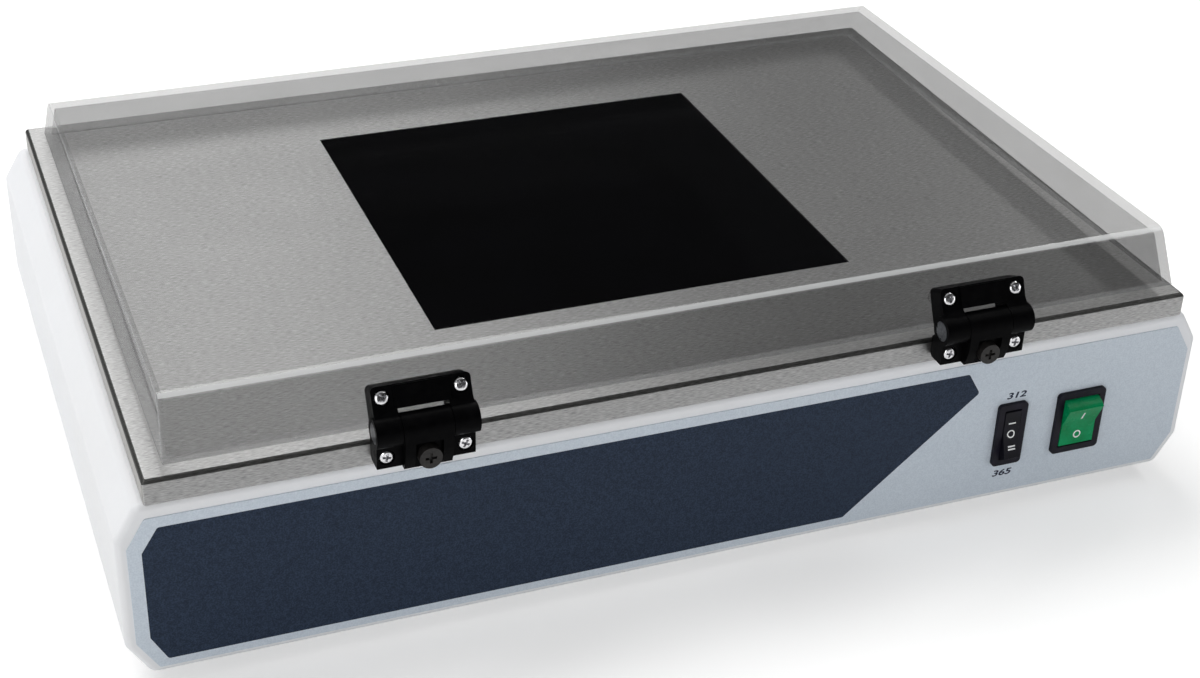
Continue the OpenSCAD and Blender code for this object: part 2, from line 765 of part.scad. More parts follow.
module terminal_block() {
    w = terminal_ways * terminal_pitch;
    color("ivory") translate([terminal_at[0], terminal_at[1], body_z]) difference() {
        translate([-w / 2, -terminal_d / 2, 0]) cube([w, terminal_d, terminal_h]);
        for (i = [0:terminal_ways - 1]) translate([(i - (terminal_ways - 1) / 2) * terminal_pitch, 0, 0]) {
            for (y = [-1, 1]) translate([0, y * terminal_d / 4, terminal_h / 2])
                cylinder(d = terminal_hole, h = terminal_h);
            translate([0, 0, terminal_h / 3]) rod_y(terminal_hole * 0.4, terminal_d + 2 * past);
        }
        translate([0, 0, -past]) cylinder(d = m3_d, h = terminal_h / 6 + past);
    }
}

// Earth screw with its nut and ring tag beside the inlet
earth_at = [inlet_x - 37, rear_y - terminal_in];

module earth_stud() {
    tag = 1;
    tag_rim = 1;
    color("goldenrod") translate([earth_at[0], earth_at[1], body_z]) {
        translate([0, 0, -base_t]) cylinder(d = m3_d, h = base_t + tag + m4_nut_h + screw_end);
        cylinder(d = m4_nut_w + 2 * tag_rim, h = tag);
        translate([0, 0, tag]) cylinder(d = m4_nut_w / cos(30), h = m4_nut_h, $fn = 6);
    }
}

// ---- Wiring ----

// A round sleeve along straight stretches with mitred corners
function unit(v) = v / norm(v);

function sleeve_rings(path, i, ring) = i == len(path) ? [] :
    let (came = unit(path[max(i, 1)] - path[max(i, 1) - 1]),
        goes = i == len(path) - 1 ? came : unit(path[i + 1] - path[i]),
        mitre = came + goes,
        here = [for (p = ring) p - came * ((p * mitre) / (came * mitre))])
    concat([for (p = here) path[i] + p], sleeve_rings(path, i + 1, here));

module sleeve(path, d) {
    sides = 10;
    start = unit(path[1] - path[0]);
    across = unit(cross(start, abs(start[2]) > 0.5 ? [0, 1, 0] : [0, 0, 1]));
    up = cross(start, across);
    ring = [for (i = [0:sides - 1]) (across * cos(360 * i / sides) + up * sin(360 * i / sides)) * d / 2];
    points = sleeve_rings(path, 0, ring);
    last = len(points) - sides;
    polyhedron(points = points, faces = concat(
        [[for (i = [0:sides - 1]) i]],
        [for (r = [0:sides:last - sides], i = [0:sides - 1]) let (j = (i + 1) % sides)
            [r + j, r + i, r + sides + i, r + sides + j]],
        [[for (i = [sides - 1:-1:0]) last + i]]));
}

module wiring() {
    r = sleeve_d / 2;
    seat = fit_gap;
    low = body_z + r + seat;
    inlet_back = rear_y - inlet_depth - seat;
    block_end = terminal_at[0] + terminal_ways * terminal_pitch / 2 + seat;
    block_front = terminal_at[1] - terminal_d / 2 - seat;
    switch_back = body_y + switch_depth + blade_len + seat;
    bay_y = filter_mid_y - reflector_d / 2 - 3 * sleeve_d;
    lamp_feed = bank_x + seat + r / 2;
    middle_z = body_z + switch_z;
    block_z = body_z + terminal_h / 3 + sleeve_d;
    loop_y = switch_back + 12;
    ballast_front = ballast_y - ballast_len / 2 - seat;
    ballast_feed = low + 8;
    lane_y = switch_back + r + seat / 2;
    lane_gap = sleeve_d + 1;
    lane_x = selector_x - 2 * sleeve_d;
    color("dimgray") {
        // Inlet to terminal block, and from there to the power switch
        sleeve([[inlet_x, inlet_back - blade_len, inlet_z], [inlet_x, terminal_at[1], inlet_z],
            [inlet_x, terminal_at[1], block_z], [block_end, terminal_at[1], block_z]], sleeve_d);
        sleeve([[terminal_at[0], block_front, low], [terminal_at[0], bay_y, low],
            [power_x, bay_y, low], [power_x, bay_y, middle_z - blade_z],
            [power_x, switch_back, middle_z - blade_z]], sleeve_d);
        // Power switch to selector
        sleeve([[power_x, switch_back, middle_z + blade_z], [power_x, loop_y, middle_z + blade_z],
            [selector_x, loop_y, middle_z + blade_z],
            [selector_x, switch_back, middle_z + blade_z]], sleeve_d);
        // Selector to both ballasts
        sleeve([[selector_x, switch_back, middle_z], [selector_x, lane_y + lane_gap, middle_z],
            [selector_x, lane_y + lane_gap, ballast_feed], [ballast_x, lane_y + lane_gap, ballast_feed],
            [ballast_x, ballast_front, ballast_feed]], sleeve_d);
        sleeve([[selector_x, switch_back, middle_z - selector_blade_z],
            [selector_x, lane_y, middle_z - selector_blade_z], [lane_x, lane_y, middle_z - selector_blade_z],
            [lane_x, lane_y, low], [-ballast_x, lane_y, low], [-ballast_x, lane_y, ballast_feed],
            [-ballast_x, ballast_front, ballast_feed]], sleeve_d);
        // Ballasts to the lamp holders
        for (s = [-1, 1]) {
            translate([filter_x + s * lamp_feed, 0, 0])
                sleeve([[0, lamp_ys[0] - r, lamp_z], [0, lamp_ys[lamp_count - 1] + r, lamp_z]], r);
            sleeve([[s * ballast_x, filter_mid_y, body_z + ballast_h + seat],
                [s * ballast_x, filter_mid_y, lamp_z],
                [filter_x + s * (lamp_feed + r / 2 + seat), filter_mid_y, lamp_z]], sleeve_d);
        }
    }
}

// ---- Switches ----

blade_len = 8;
blade_w = 4.8;
blade_t = 0.8;
blade_z = 6;
selector_blade_z = 8;

// Snap-in housing with a bezel and a round-backed well for its rocker
module switch_housing(at_x, w, h) {
    reach = rocker_reach(h) + move_gap;
    well = w - 2 * (bezel_rim + bezel_side);
    translate([at_x, bezel_y, body_z + switch_z]) difference() {
        union() {
            upright(0, bezel_t) round_rect(w, h, bezel_round);
            upright(bezel_t - past, bezel_t + film_t + switch_depth)
                square([w - 2 * bezel_rim, h - 2 * bezel_rim], center = true);
        }
        translate([0, rocker_pivot, 0]) rod_x(reach, well);
        translate([-well / 2, -past, -reach]) cube([well, rocker_pivot + past, 2 * reach]);
        translate([0, rocker_pivot, 0]) rod_x(rocker_pin_r + turn_play, w - 2 * bezel_rim + past);
    }
}

// Reach of a rocker's round ends from its pin
function rocker_reach(h) = h / 2 - bezel_rim - bezel_side - move_gap;

// Rocker with two sloped halves, turned to the side that is pressed in
module rocker(at_x, w, h, travel, side) {
    reach = rocker_reach(h);
    half = travel / 2;
    valley = (rocker_pivot + rocker_proud) / cos(half);
    front = valley + reach * tan(half);
    back = rocker_back;
    across = w - 2 * (bezel_rim + bezel_side + move_gap);
    translate([at_x, bezel_y + rocker_pivot, body_z + switch_z]) rotate([side * half, 0, 0]) {
        sideways(-across / 2, across / 2) intersection() {
            circle(r = reach);
            polygon([[back, reach], [-front, reach], [-valley, 0], [-front, -reach], [back, -reach]]);
        }
        rod_x(rocker_pin_r, w - 2 * bezel_rim - fit_gap);
    }
}

// Tinned blades behind a switch
module switch_blades(at_x, columns, rows) {
    for (z = rows, x = columns)
        translate([at_x + x, bezel_y + bezel_t + film_t + switch_depth, body_z + switch_z + z])
            translate([-blade_t / 2, 0, -blade_w / 2]) cube([blade_t, blade_len, blade_w]);
}

module power_housing() { color("black") switch_housing(power_x, power_w, power_h); }
module power_rocker() { color("green") rocker(power_x, power_w, power_h, power_travel, 1); }
module power_terminals() {
    color("silver") switch_blades(power_x, [-power_w / 5, power_w / 5], [-blade_z, blade_z]);
}
module selector_housing() { color("black") switch_housing(selector_x, selector_w, selector_h); }
module selector_rocker() { color("black") rocker(selector_x, selector_w, selector_h, selector_travel, -1); }
module selector_terminals() {
    color("silver") switch_blades(selector_x, [0], [-selector_blade_z, 0, selector_blade_z]);
}

// ---- Power inlet ----

inlet_face = rear_y + rear_t + inlet_flange;
socket_notch = 5;
// Blades of the socket: half spacing, half offset of the middle one, thickness and height
inlet_pin_x = 7;
inlet_pin_z = 2;
inlet_pin_t = 2;
inlet_pin_h = 4;
inlet_pin_in = 1.5;

module at_inlet_pins() {
    for (x = [-1, 0, 1])
        translate([inlet_x + x * inlet_pin_x, 0, socket_z + (x == 0 ? inlet_pin_z : -inlet_pin_z)])
            children();
}

// Flanged inlet with a plug socket above and a fuse drawer's slot below
module inlet_body() {
    w = socket_w / 2;
    h = socket_h / 2;
    color("black") difference() {
        translate([inlet_x, 0, inlet_z]) union() {
            upright(rear_y + rear_t, inlet_face) round_rect(inlet_w, inlet_h, sheet_round / 2);
            upright(rear_y - inlet_depth, rear_y + rear_t + past)
                square([inlet_body_w, inlet_body_h], center = true);
        }
        translate([inlet_x, 0, socket_z]) upright(inlet_face - socket_depth, inlet_face + past) polygon([
            [-w, -h], [w, -h], [w, h - socket_notch], [w - socket_notch, h],
            [-w + socket_notch, h], [-w, h - socket_notch]]);
        translate([inlet_x, 0, drawer_z]) upright(inlet_face - drawer_depth - past, inlet_face + past)
            square([drawer_w + 2 * fit_gap, drawer_h + 2 * fit_gap], center = true);
        for (x = [-1, 1]) translate([inlet_x + x * inlet_screw_at, inlet_face, inlet_z])
            rod_y(m3_d / 2 + hole_play, 2 * (inlet_flange + past));
        at_inlet_pins() upright(rear_y - inlet_depth - past, inlet_face)
            square([inlet_pin_t, inlet_pin_h], center = true);
    }
}

// Two live blades and the earth blade, with solder tags at the back
module inlet_pins() {
    color("silver") at_inlet_pins() upright(rear_y - inlet_depth - blade_len, inlet_face - inlet_pin_in)
        square([inlet_pin_t, inlet_pin_h], center = true);
}

module inlet_screws() {
    color("silver") for (x = [-1, 1]) translate([inlet_x + x * inlet_screw_at, inlet_face, inlet_z])
        rotate([-90, 0, 0])
            pan_screw(m3_d, inlet_flange + rear_t + m3_nut_h + nut_end, m3_head_d, m3_head_h / 2);
}

module inlet_nuts() {
    color("silver") for (x = [-1, 1]) translate([inlet_x + x * inlet_screw_at, rear_y, inlet_z])
        rotate([90, 0, 0]) hex_nut(m3_nut_w, m3_nut_h, m3_d);
}

// Drawer with a pocket for the fuse in use and one for a spare
fuse_d = 5.2;
fuse_len = 20;
fuse_floor = 0.8;
fuse_wall = 1.2;
drawer_rim = 1;
fuse_ys = [for (n = [0, 1]) inlet_face - fuse_wall - (n + 0.5) * (fuse_d + fuse_wall)];

module fuse_drawer() {
    color("dimgray") translate([inlet_x, 0, drawer_z]) difference() {
        union() {
            upright(inlet_face - drawer_depth, inlet_face + fit_gap + past / 2)
                square([drawer_w, drawer_h], center = true);
            upright(inlet_face + fit_gap, inlet_face + fit_gap + drawer_lip)
                round_rect(drawer_w + 2 * drawer_rim, drawer_h + 2 * drawer_rim, drawer_rim);
        }
        for (y = fuse_ys) translate([0, y, fuse_floor])
            cube([fuse_len + 2 * fit_gap, fuse_d + 2 * fit_gap, drawer_h], center = true);
    }
}

module fuses() {
    color("lightcyan") for (y = fuse_ys)
        translate([inlet_x, y, drawer_z - drawer_h / 2 + fuse_floor + fuse_d / 2])
            rod_x(fuse_d / 2, fuse_len);
}

// ---- Hinges: drawn about the axis, with Y to the back ----

module at_hinge(side) { translate([side * hinge_x, axis_y, axis_z]) children(); }

// Puts a shape drawn for an upright leaf at the lean of the shield's front wall
module leaned() { rotate([-leaf_lean, 0, 0]) children(); }

// Lower half: plate on the tray's edge, middle knuckle, and the block round the torque screw
module hinge_bracket() {
    bottom = -axis_up - bracket_drop;
    shoulder = -axis_up / 2;
    cup_top = shoulder;
    front = axis_out - bracket_t;
    block = axis_out - block_out;
    edge = 1.5;
    slope = 2.5;
    chin = 0.5;
    difference() {
        union() {
            sideways(-hinge_w / 2, hinge_w / 2) polygon([[front, bottom], [axis_out - edge, bottom],
                [axis_out, bottom + edge], [axis_out, shoulder - slope],
                [axis_out - slope, shoulder], [front, shoulder]]);
            rod_x(barrel_d / 2, knuckle_len);
            sideways(-block_w / 2, block_w / 2)
                polygon([[-barrel_d / 2, 0], [-barrel_d / 2, -axis_up + 2 * chin], [block, bottom + 2 * edge],
                    [block + edge, bottom - chin], [axis_out - edge, bottom - chin],
                    [axis_out, bottom + edge], [axis_out, shoulder - slope], [barrel_d / 2, 0]]);
        }
        for (s = [-1, 1]) translate([s * barrel_len / 2, 0, 0])
            rod_x(barrel_d / 2 + move_gap, barrel_len - knuckle_len);
        rod_x(hinge_pin_d / 2 + turn_play, barrel_len + 2 * past);
        for (s = [-1, 1]) translate([s * leaf_screw_at, 0, -axis_up - bracket_screw_drop]) {
            translate([0, axis_out, 0]) rod_y(m3_d / 2 + hole_play, 2 * (bracket_t + past));
            translate([0, front, 0]) rod_y(hinge_screw_head / 2 + hole_play, 2 * hinge_screw_sink);
        }
        translate([0, 0, -axis_up - torque_drop]) rod_y(m4_d / 2 + turn_play, 2 * torque_bore);
        translate([-cup_w / 2, block + cup_depth - barrel_d, bottom - past])
            cube([cup_w, barrel_d, cup_top - bottom + past]);
    }
}

// Depth of the torque screw's thread, from the hinge axis to the back
torque_bore = 5;
torque_shank_end = 4;

// Upper half: leaf on the shield's front wall with two outer knuckles and a raised middle
module hinge_leaf() {
    raised = 0.8;
    raised_w = knuckle_len + 2.2;
    raised_top = leaf_len - raised / 2;
    window = barrel_d / 2 + 2;
    heel = 1.5;
    leaf_round = 2;
    front = axis_out - leaf_t;
    web_out = 1.8;
    web_foot = sqrt(pow(barrel_d / 2 - heel / 3, 2) - pow(front - web_out, 2));
    web_up = barrel_d / 2 + 2.4;
    difference() {
        union() {
            for (s = [-1, 1]) translate([s * (barrel_len + knuckle_len) / 4 + s * move_gap / 2, 0, 0])
                rod_x(barrel_d / 2, (barrel_len - knuckle_len) / 2 - move_gap);
            leaned() {
                upright(front, axis_out) translate([0, (heel + leaf_len) / 2])
                    round_rect(hinge_w, leaf_len - heel, leaf_round);
                upright(front - raised, front + past) translate([0, (window + raised_top) / 2])
                    square([raised_w, raised_top - window], center = true);
                sideways(-hinge_w / 2, hinge_w / 2)
                    polygon([[0, 0], [front - web_out, web_foot], [front, web_up], [0, web_up]]);
            }
        }
        rod_x(barrel_d / 2 + move_gap, knuckle_len + 2 * move_gap);
        leaned() translate([0, 0, window / 2 - past])
            cube([knuckle_len + 2 * move_gap, 3 * axis_out, window + 2 * past], center = true);
        rod_x(hinge_pin_d / 2 - press, barrel_len + 2 * past);
        leaned() for (s = [-1, 1]) translate([s * leaf_screw_at, 0, leaf_screw_up]) {
            translate([0, axis_out, 0]) rod_y(m3_d / 2 + hole_play, 2 * (leaf_t + past));
            translate([0, front, 0]) rod_y(hinge_screw_head / 2 + hole_play, 2 * hinge_screw_sink);
        }
    }
}

// Shaft pressed into the outer knuckles and clamped by the middle one
module hinge_pin() {
    rod_x(hinge_pin_d / 2, barrel_len);
}

// Cheese-head screw that sets how firmly the middle knuckle grips the shaft
module torque_screw() {
    head = torque_out - block_out + cup_depth - fit_gap;
    slot = 1.2;
    slot_depth = 1.4;
    translate([0, axis_out - torque_out, -axis_up - torque_drop]) rotate([-90, 0, 0]) difference() {
        union() {
            cylinder(d = torque_head_d, h = head);
            cylinder(d = m4_d, h = torque_out - axis_out + torque_shank_end);
        }
        for (turn = [0, 90]) rotate(turn)
            translate([-torque_head_d / 4, -slot / 2, -past])
                cube([torque_head_d / 2, slot, past + slot_depth]);
    }
}

module hinge_bracket_left() { color("black") at_hinge(-1) hinge_bracket(); }
module hinge_bracket_right() { color("black") at_hinge(1) hinge_bracket(); }
module hinge_leaf_left() { color("black") at_hinge(-1) hinge_leaf(); }
module hinge_leaf_right() { color("black") at_hinge(1) hinge_leaf(); }
module hinge_pin_left() { color("slategray") at_hinge(-1) hinge_pin(); }
module hinge_pin_right() { color("slategray") at_hinge(1) hinge_pin(); }
module torque_screw_left() { color("black") at_hinge(-1) torque_screw(); }
module torque_screw_right() { color("black") at_hinge(1) torque_screw(); }

// The four screws of each kind, placed at both hinges
module at_bracket_screws() {
    for (h = [-1, 1], s = [-1, 1]) at_hinge(h)
        translate([s * leaf_screw_at, axis_out, -axis_up - bracket_screw_drop]) children();
}

module at_leaf_screws() {
    for (h = [-1, 1], s = [-1, 1]) at_hinge(h)
        leaned() translate([s * leaf_screw_at, axis_out, leaf_screw_up]) children();
}

module bracket_screws() {
    color("silver") at_bracket_screws() translate([0, hinge_screw_sink - bracket_t, 0]) rotate([90, 0, 0])
        pan_screw(m3_d, bracket_t - hinge_screw_sink + tray_sheet + m3_nut_h + nut_end,
            hinge_screw_head, m4_head_h);
}

// A tapped plate behind the tray's edge for each lower half
module bracket_nuts() {
    plate_top = -axis_up - nut_plate_drop;
    color("silver") for (h = [-1, 1]) at_hinge(h) difference() {
        translate([-hinge_w / 2, axis_out + tray_sheet, plate_top - nut_plate_h])
            cube([hinge_w, m3_nut_h, nut_plate_h]);
        for (s = [-1, 1]) translate([s * leaf_screw_at, axis_out, -axis_up - bracket_screw_drop])
            rod_y(m3_d / 2 + thread_play, 2 * (tray_sheet + m3_nut_h + past));
    }
}

module leaf_screws() {
    color("silver") at_leaf_screws() translate([0, hinge_screw_sink - leaf_t, 0]) rotate([90, 0, 0])
        pan_screw(m3_d, leaf_t - hinge_screw_sink + cover_t + m3_nut_h + nut_end,
            hinge_screw_head, m4_head_h);
}

module leaf_nuts() {
    color("silver") at_leaf_screws() translate([0, cover_t, 0]) rotate([-90, 30, 0])
        hex_nut(m3_nut_w, m3_nut_h, m3_d);
}

// ---- Shield ----

// A leaning box from the open side up: sheet is how far it lies inside the outer faces
module cover_block(sheet) {
    top = cover_h - sheet;
    thin = past / 100;
    front_in = sheet / cos(front_lean);
    back_in = sheet / cos(back_lean);
    hull() for (z = [sheet > 0 ? -past : 0, top - thin]) {
        at = z + thin;
        front = front_in + at * tan(front_lean);
        back = cover_d - back_in - at * tan(back_lean);
        half = cover_w / 2 - sheet - at * side_draft / cover_h;
        translate([-half, front, z]) cube([2 * half, back - front, thin]);
    }
}

// Clear tinted sheet formed to a shallow lid, open below
module cover() {
    color("lightgray", 0.5) difference() {
        translate([0, cover_y, tray_top + cover_lift]) rotate([-cover_tilt, 0, 0]) difference() {
            cover_block(0);
            cover_block(cover_t);
        }
        at_leaf_screws() rod_y(m3_d / 2 + hole_play, 4 * cover_t);
    }
}

body_shell();
front_film();
base_plate();
base_screws();
feet();
foot_screws();
foot_nuts();
rear_panel();
rear_screws();
tray();
tray_nuts();
filter_glass();
filter_gasket();
filter_frame();
frame_nuts();
reflector();
lamp_rails();
rail_screws();
lamp_holders();
lamps_312();
lamps_365();
lamp_caps();
ballast_312();
ballast_365();
ballast_screws();
terminal_block();
earth_stud();
wiring();
power_housing();
power_rocker();
power_terminals();
selector_housing();
selector_rocker();
selector_terminals();
inlet_body();
inlet_pins();
inlet_screws();
inlet_nuts();
fuse_drawer();
fuses();
hinge_bracket_left();
hinge_bracket_right();
hinge_leaf_left();
hinge_leaf_right();
hinge_pin_left();
hinge_pin_right();
torque_screw_left();
torque_screw_right();
bracket_screws();
bracket_nuts();
leaf_screws();
leaf_nuts();
cover();
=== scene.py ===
# UV transilluminator: a white sheet-metal bench cabinet with a printed front, a brushed stainless
# tray, a black filter glass let flush into it, and a clear shield on two black friction hinges.
import math

import bmesh
import bpy
from mathutils import Matrix, Vector


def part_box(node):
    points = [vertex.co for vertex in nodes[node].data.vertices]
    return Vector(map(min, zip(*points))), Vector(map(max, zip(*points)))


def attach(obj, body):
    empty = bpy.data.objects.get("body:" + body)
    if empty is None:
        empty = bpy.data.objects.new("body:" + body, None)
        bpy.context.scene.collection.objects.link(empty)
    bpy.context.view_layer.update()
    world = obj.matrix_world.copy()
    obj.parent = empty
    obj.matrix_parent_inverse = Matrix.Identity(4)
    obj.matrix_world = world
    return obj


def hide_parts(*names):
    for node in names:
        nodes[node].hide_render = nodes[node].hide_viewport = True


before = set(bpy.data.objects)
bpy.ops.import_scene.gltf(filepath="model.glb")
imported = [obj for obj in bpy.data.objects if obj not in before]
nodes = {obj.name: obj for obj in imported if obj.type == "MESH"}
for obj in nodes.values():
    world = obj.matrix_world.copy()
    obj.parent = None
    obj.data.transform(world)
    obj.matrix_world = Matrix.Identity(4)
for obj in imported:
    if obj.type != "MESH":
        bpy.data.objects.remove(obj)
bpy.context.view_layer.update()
scene = bpy.context.scene


# ---- Studio ----
# A pale floor that keeps the cabinet's soft shadow, two soft boxes overhead, one on each side and one
# in front. The world is pale at the horizon and dark above it, so that the black glass stays black.

def linear(r, g, b):
    """A colour given as it looks on a screen, 0 to 255, as the shader wants it."""
    return tuple((c / 255 / 12.92) if c < 10.4 else ((c / 255 + 0.055) / 1.055) ** 2.4 for c in (r, g, b))


camera = bpy.data.objects.new("camera", bpy.data.cameras.new("camera"))
scene.collection.objects.link(camera)
camera.location = (-0.31559, -0.82065, 0.55426)
camera.rotation_euler = [math.radians(a) for a in (59.1587, -1.7082, -20.9568)]
camera.data.sensor_width = 36
camera.data.lens = 61.205
camera.data.clip_start, camera.data.clip_end = 0.02, 50
scene.camera = camera
scene.view_settings.view_transform = "Standard"


def soft_box(name, place, aim, size, power, tint=(1, 1, 1)):
    lamp = bpy.data.lights.new(name, "AREA")
    lamp.shape, lamp.size, lamp.size_y = "RECTANGLE", size[0], size[1]
    lamp.energy, lamp.color = power, tint
    box = bpy.data.objects.new(name, lamp)
    box.location = place
    box.rotation_euler = (Vector(aim) - Vector(place)).to_track_quat("-Z", "Y").to_euler()
    scene.collection.objects.link(box)


soft_box("overhead_box", (-0.38, 0.9, 1.8), (0, 0, 0.05), (2.4, 1.1), 38, (1.0, 0.995, 0.985))
soft_box("strip_box", (1.45, 0.1, 1.9), (0.3, 0, 0.05), (1.5, 0.25), 7, (1.0, 0.995, 0.98))
soft_box("left_box", (-2.1, -0.5, 0.9), (0, 0, 0.05), (1.3, 1.3), 6, (0.98, 0.99, 1.0))
soft_box("front_box", (-1.5, -2.2, 0.9), (0, 0, 0.05), (1.3, 1.2), 22)
soft_box("right_box", (2.2, -1.6, 0.5), (0, 0, 0.05), (1.0, 0.7), 6)

world = bpy.data.worlds.new("studio")
scene.world = world
world.use_nodes = True
w = world.node_tree
way = w.nodes.new("ShaderNodeTexCoord")
split = w.nodes.new("ShaderNodeSeparateXYZ")
sky = w.nodes.new("ShaderNodeValToRGB")
horizon, zenith = sky.color_ramp.elements
horizon.position, horizon.color = 0.0, (0.9, 0.9, 0.9, 1)
zenith.position, zenith.color = 1.0, (0.45, 0.45, 0.45, 1)
for at, grey in ((0.06, 0.8), (0.15, 0.03), (0.62, 0.02), (0.85, 0.3)):
    stop = sky.color_ramp.elements.new(at)
    stop.color = (grey, grey, grey, 1)
w.links.new(way.outputs["Generated"], split.inputs[0])
w.links.new(split.outputs["Z"], sky.inputs["Fac"])
w.links.new(sky.outputs["Color"], w.nodes["Background"].inputs["Color"])
w.nodes["Background"].inputs["Strength"].default_value = 1.0


def build(name, verts, faces, *finishes):
    """A mesh object at the origin, its faces turned outwards."""
    mesh = bpy.data.meshes.new(name)
    mesh.from_pydata([tuple(v) for v in verts], [], faces)
    for f in finishes:
        mesh.materials.append(f)
    bm = bmesh.new()
    bm.from_mesh(mesh)
    bmesh.ops.remove_doubles(bm, verts=bm.verts, dist=1e-7)
    bmesh.ops.recalc_face_normals(bm, faces=bm.faces)
    bm.to_mesh(mesh)
    bm.free()
    obj = bpy.data.objects.new(name, mesh)
    scene.collection.objects.link(obj)
    return obj


floor_half = 5.0
floor = build("floor", [(x * floor_half, y * floor_half, 0) for x, y in ((-1, -1), (1, -1), (1, 1), (-1, 1))],
              [(0, 1, 2, 3)])
pale = bpy.data.materials.new("pale floor")
pale.use_nodes = True
t = pale.node_tree
t.nodes.remove(t.nodes["Principled BSDF"])
out = t.nodes["Material Output"]
diffuse = t.nodes.new("ShaderNodeBsdfDiffuse")
diffuse.inputs["Color"].default_value = (0.74, 0.74, 0.74, 1)
glow = t.nodes.new("ShaderNodeEmission")
path = t.nodes.new("ShaderNodeLightPath")
seen = t.nodes.new("ShaderNodeMath")
seen.operation = "MAXIMUM"
seen_too = t.nodes.new("ShaderNodeMath")
seen_too.operation = "MAXIMUM"
level = t.nodes.new("ShaderNodeMath")
level.operation = "MULTIPLY"
level.inputs[1].default_value = 0.42
both = t.nodes.new("ShaderNodeAddShader")
t.links.new(path.outputs["Is Camera Ray"], seen.inputs[0])
t.links.new(path.outputs["Is Glossy Ray"], seen.inputs[1])
t.links.new(seen.outputs[0], seen_too.inputs[0])
t.links.new(path.outputs["Is Transmission Ray"], seen_too.inputs[1])
t.links.new(seen_too.outputs[0], level.inputs[0])
t.links.new(level.outputs[0], glow.inputs["Strength"])
t.links.new(diffuse.outputs[0], both.inputs[0])
t.links.new(glow.outputs[0], both.inputs[1])
t.links.new(both.outputs[0], out.inputs["Surface"])
floor.data.materials.append(pale)


# ---- Cabinet shell ----
# Folded steel sheet, powder-coated a cool white: slopes run along its long edges, and the front is
# drawn in to a soft rim. It is open above, below and behind, where the other pieces close it.

def finish(name, colour, rough, metal=0.0, **sockets):
    """A new material with one Principled shader."""
    mat = bpy.data.materials.new(name)
    mat.use_nodes = True
    bsdf = mat.node_tree.nodes["Principled BSDF"]
    bsdf.inputs["Base Color"].default_value = (*colour, 1)
    bsdf.inputs["Roughness"].default_value = rough
    bsdf.inputs["Metallic"].default_value = metal
    for socket, value in sockets.items():
        bsdf.inputs[socket.replace("_", " ")].default_value = value
    return mat


def grain(mat, stretch, detail=2.0, place=(0, 0, 0)):
    """Noise on the piece's own coordinates, finer where stretch is larger. Gives its Fac."""
    t = mat.node_tree
    coord = t.nodes.new("ShaderNodeTexCoord")
    fit = t.nodes.new("ShaderNodeMapping")
    fit.inputs["Scale"].default_value = stretch
    fit.inputs["Location"].default_value = place
    cloud = t.nodes.new("ShaderNodeTexNoise")
    cloud.inputs["Scale"].default_value = 1.0
    cloud.inputs["Detail"].default_value = detail
    t.links.new(coord.outputs["Object"], fit.inputs["Vector"])
    t.links.new(fit.outputs["Vector"], cloud.inputs["Vector"])
    return cloud.outputs["Fac"]


def span(mat, fac, low, high, start=0.3, end=0.7):
    """Fac between start and end as a number between low and high."""
    t = mat.node_tree
    ranged = t.nodes.new("ShaderNodeMapRange")
    for socket, value in (("From Min", start), ("From Max", end), ("To Min", low), ("To Max", high)):
        ranged.inputs[socket].default_value = value
    t.links.new(fac, ranged.inputs["Value"])
    return ranged.outputs["Result"]


def tone(mat, fac, dark, light, start=0.3, end=0.7):
    """Colours the piece between dark and light by fac, over the colour that it has so far."""
    t = mat.node_tree
    ramp = t.nodes.new("ShaderNodeValToRGB")
    ramp.color_ramp.elements[0].position, ramp.color_ramp.elements[0].color = start, (*dark, 1)
    ramp.color_ramp.elements[1].position, ramp.color_ramp.elements[1].color = end, (*light, 1)
    t.links.new(fac, ramp.inputs["Fac"])
    t.links.new(ramp.outputs["Color"], t.nodes["Principled BSDF"].inputs["Base Color"])
    return ramp.outputs["Color"]


def shade(mat, fac, tint, start=0.3, end=0.7):
    """Multiplies the colour so far by tint where fac is high."""
    t = mat.node_tree
    base = t.nodes["Principled BSDF"].inputs["Base Color"]
    mix = t.nodes.new("ShaderNodeMix")
    mix.data_type, mix.blend_type = "RGBA", "MULTIPLY"
    if base.is_linked:
        t.links.new(base.links[0].from_socket, mix.inputs["A"])
    else:
        mix.inputs["A"].default_value = base.default_value
    mix.inputs["B"].default_value = (*tint, 1)
    t.links.new(span(mat, fac, 0, 1, start, end), mix.inputs["Factor"])
    t.links.new(mix.outputs["Result"], base)


def gloss(mat, fac, low, high, start=0.3, end=0.7):
    t = mat.node_tree
    t.links.new(span(mat, fac, low, high, start, end), t.nodes["Principled BSDF"].inputs["Roughness"])


def relief(mat, fac, height, strength=1.0):
    """Raises the surface by fac times height, in metres, over the relief that it has so far."""
    t = mat.node_tree
    normal = t.nodes["Principled BSDF"].inputs["Normal"]
    bump = t.nodes.new("ShaderNodeBump")
    bump.inputs["Distance"].default_value = height
    bump.inputs["Strength"].default_value = strength
    if normal.is_linked:
        t.links.new(normal.links[0].from_socket, bump.inputs["Normal"])
    t.links.new(fac, bump.inputs["Height"])
    t.links.new(bump.outputs["Normal"], normal)


def inset(points, d):
    """A convex outline, anticlockwise, with each side moved inwards by d."""
    moved = []
    for i, p in enumerate(points):
        a, b, c = Vector(points[i - 1]), Vector(p), Vector(points[(i + 1) % len(points)])
        u, v = (b - a).normalized(), (c - b).normalized()
        n, m = Vector((-u.y, u.x)), Vector((-v.y, v.x))
        bisector = (n + m).normalized()
        moved.append(tuple(b + bisector * d / bisector.dot(n)))
    return moved


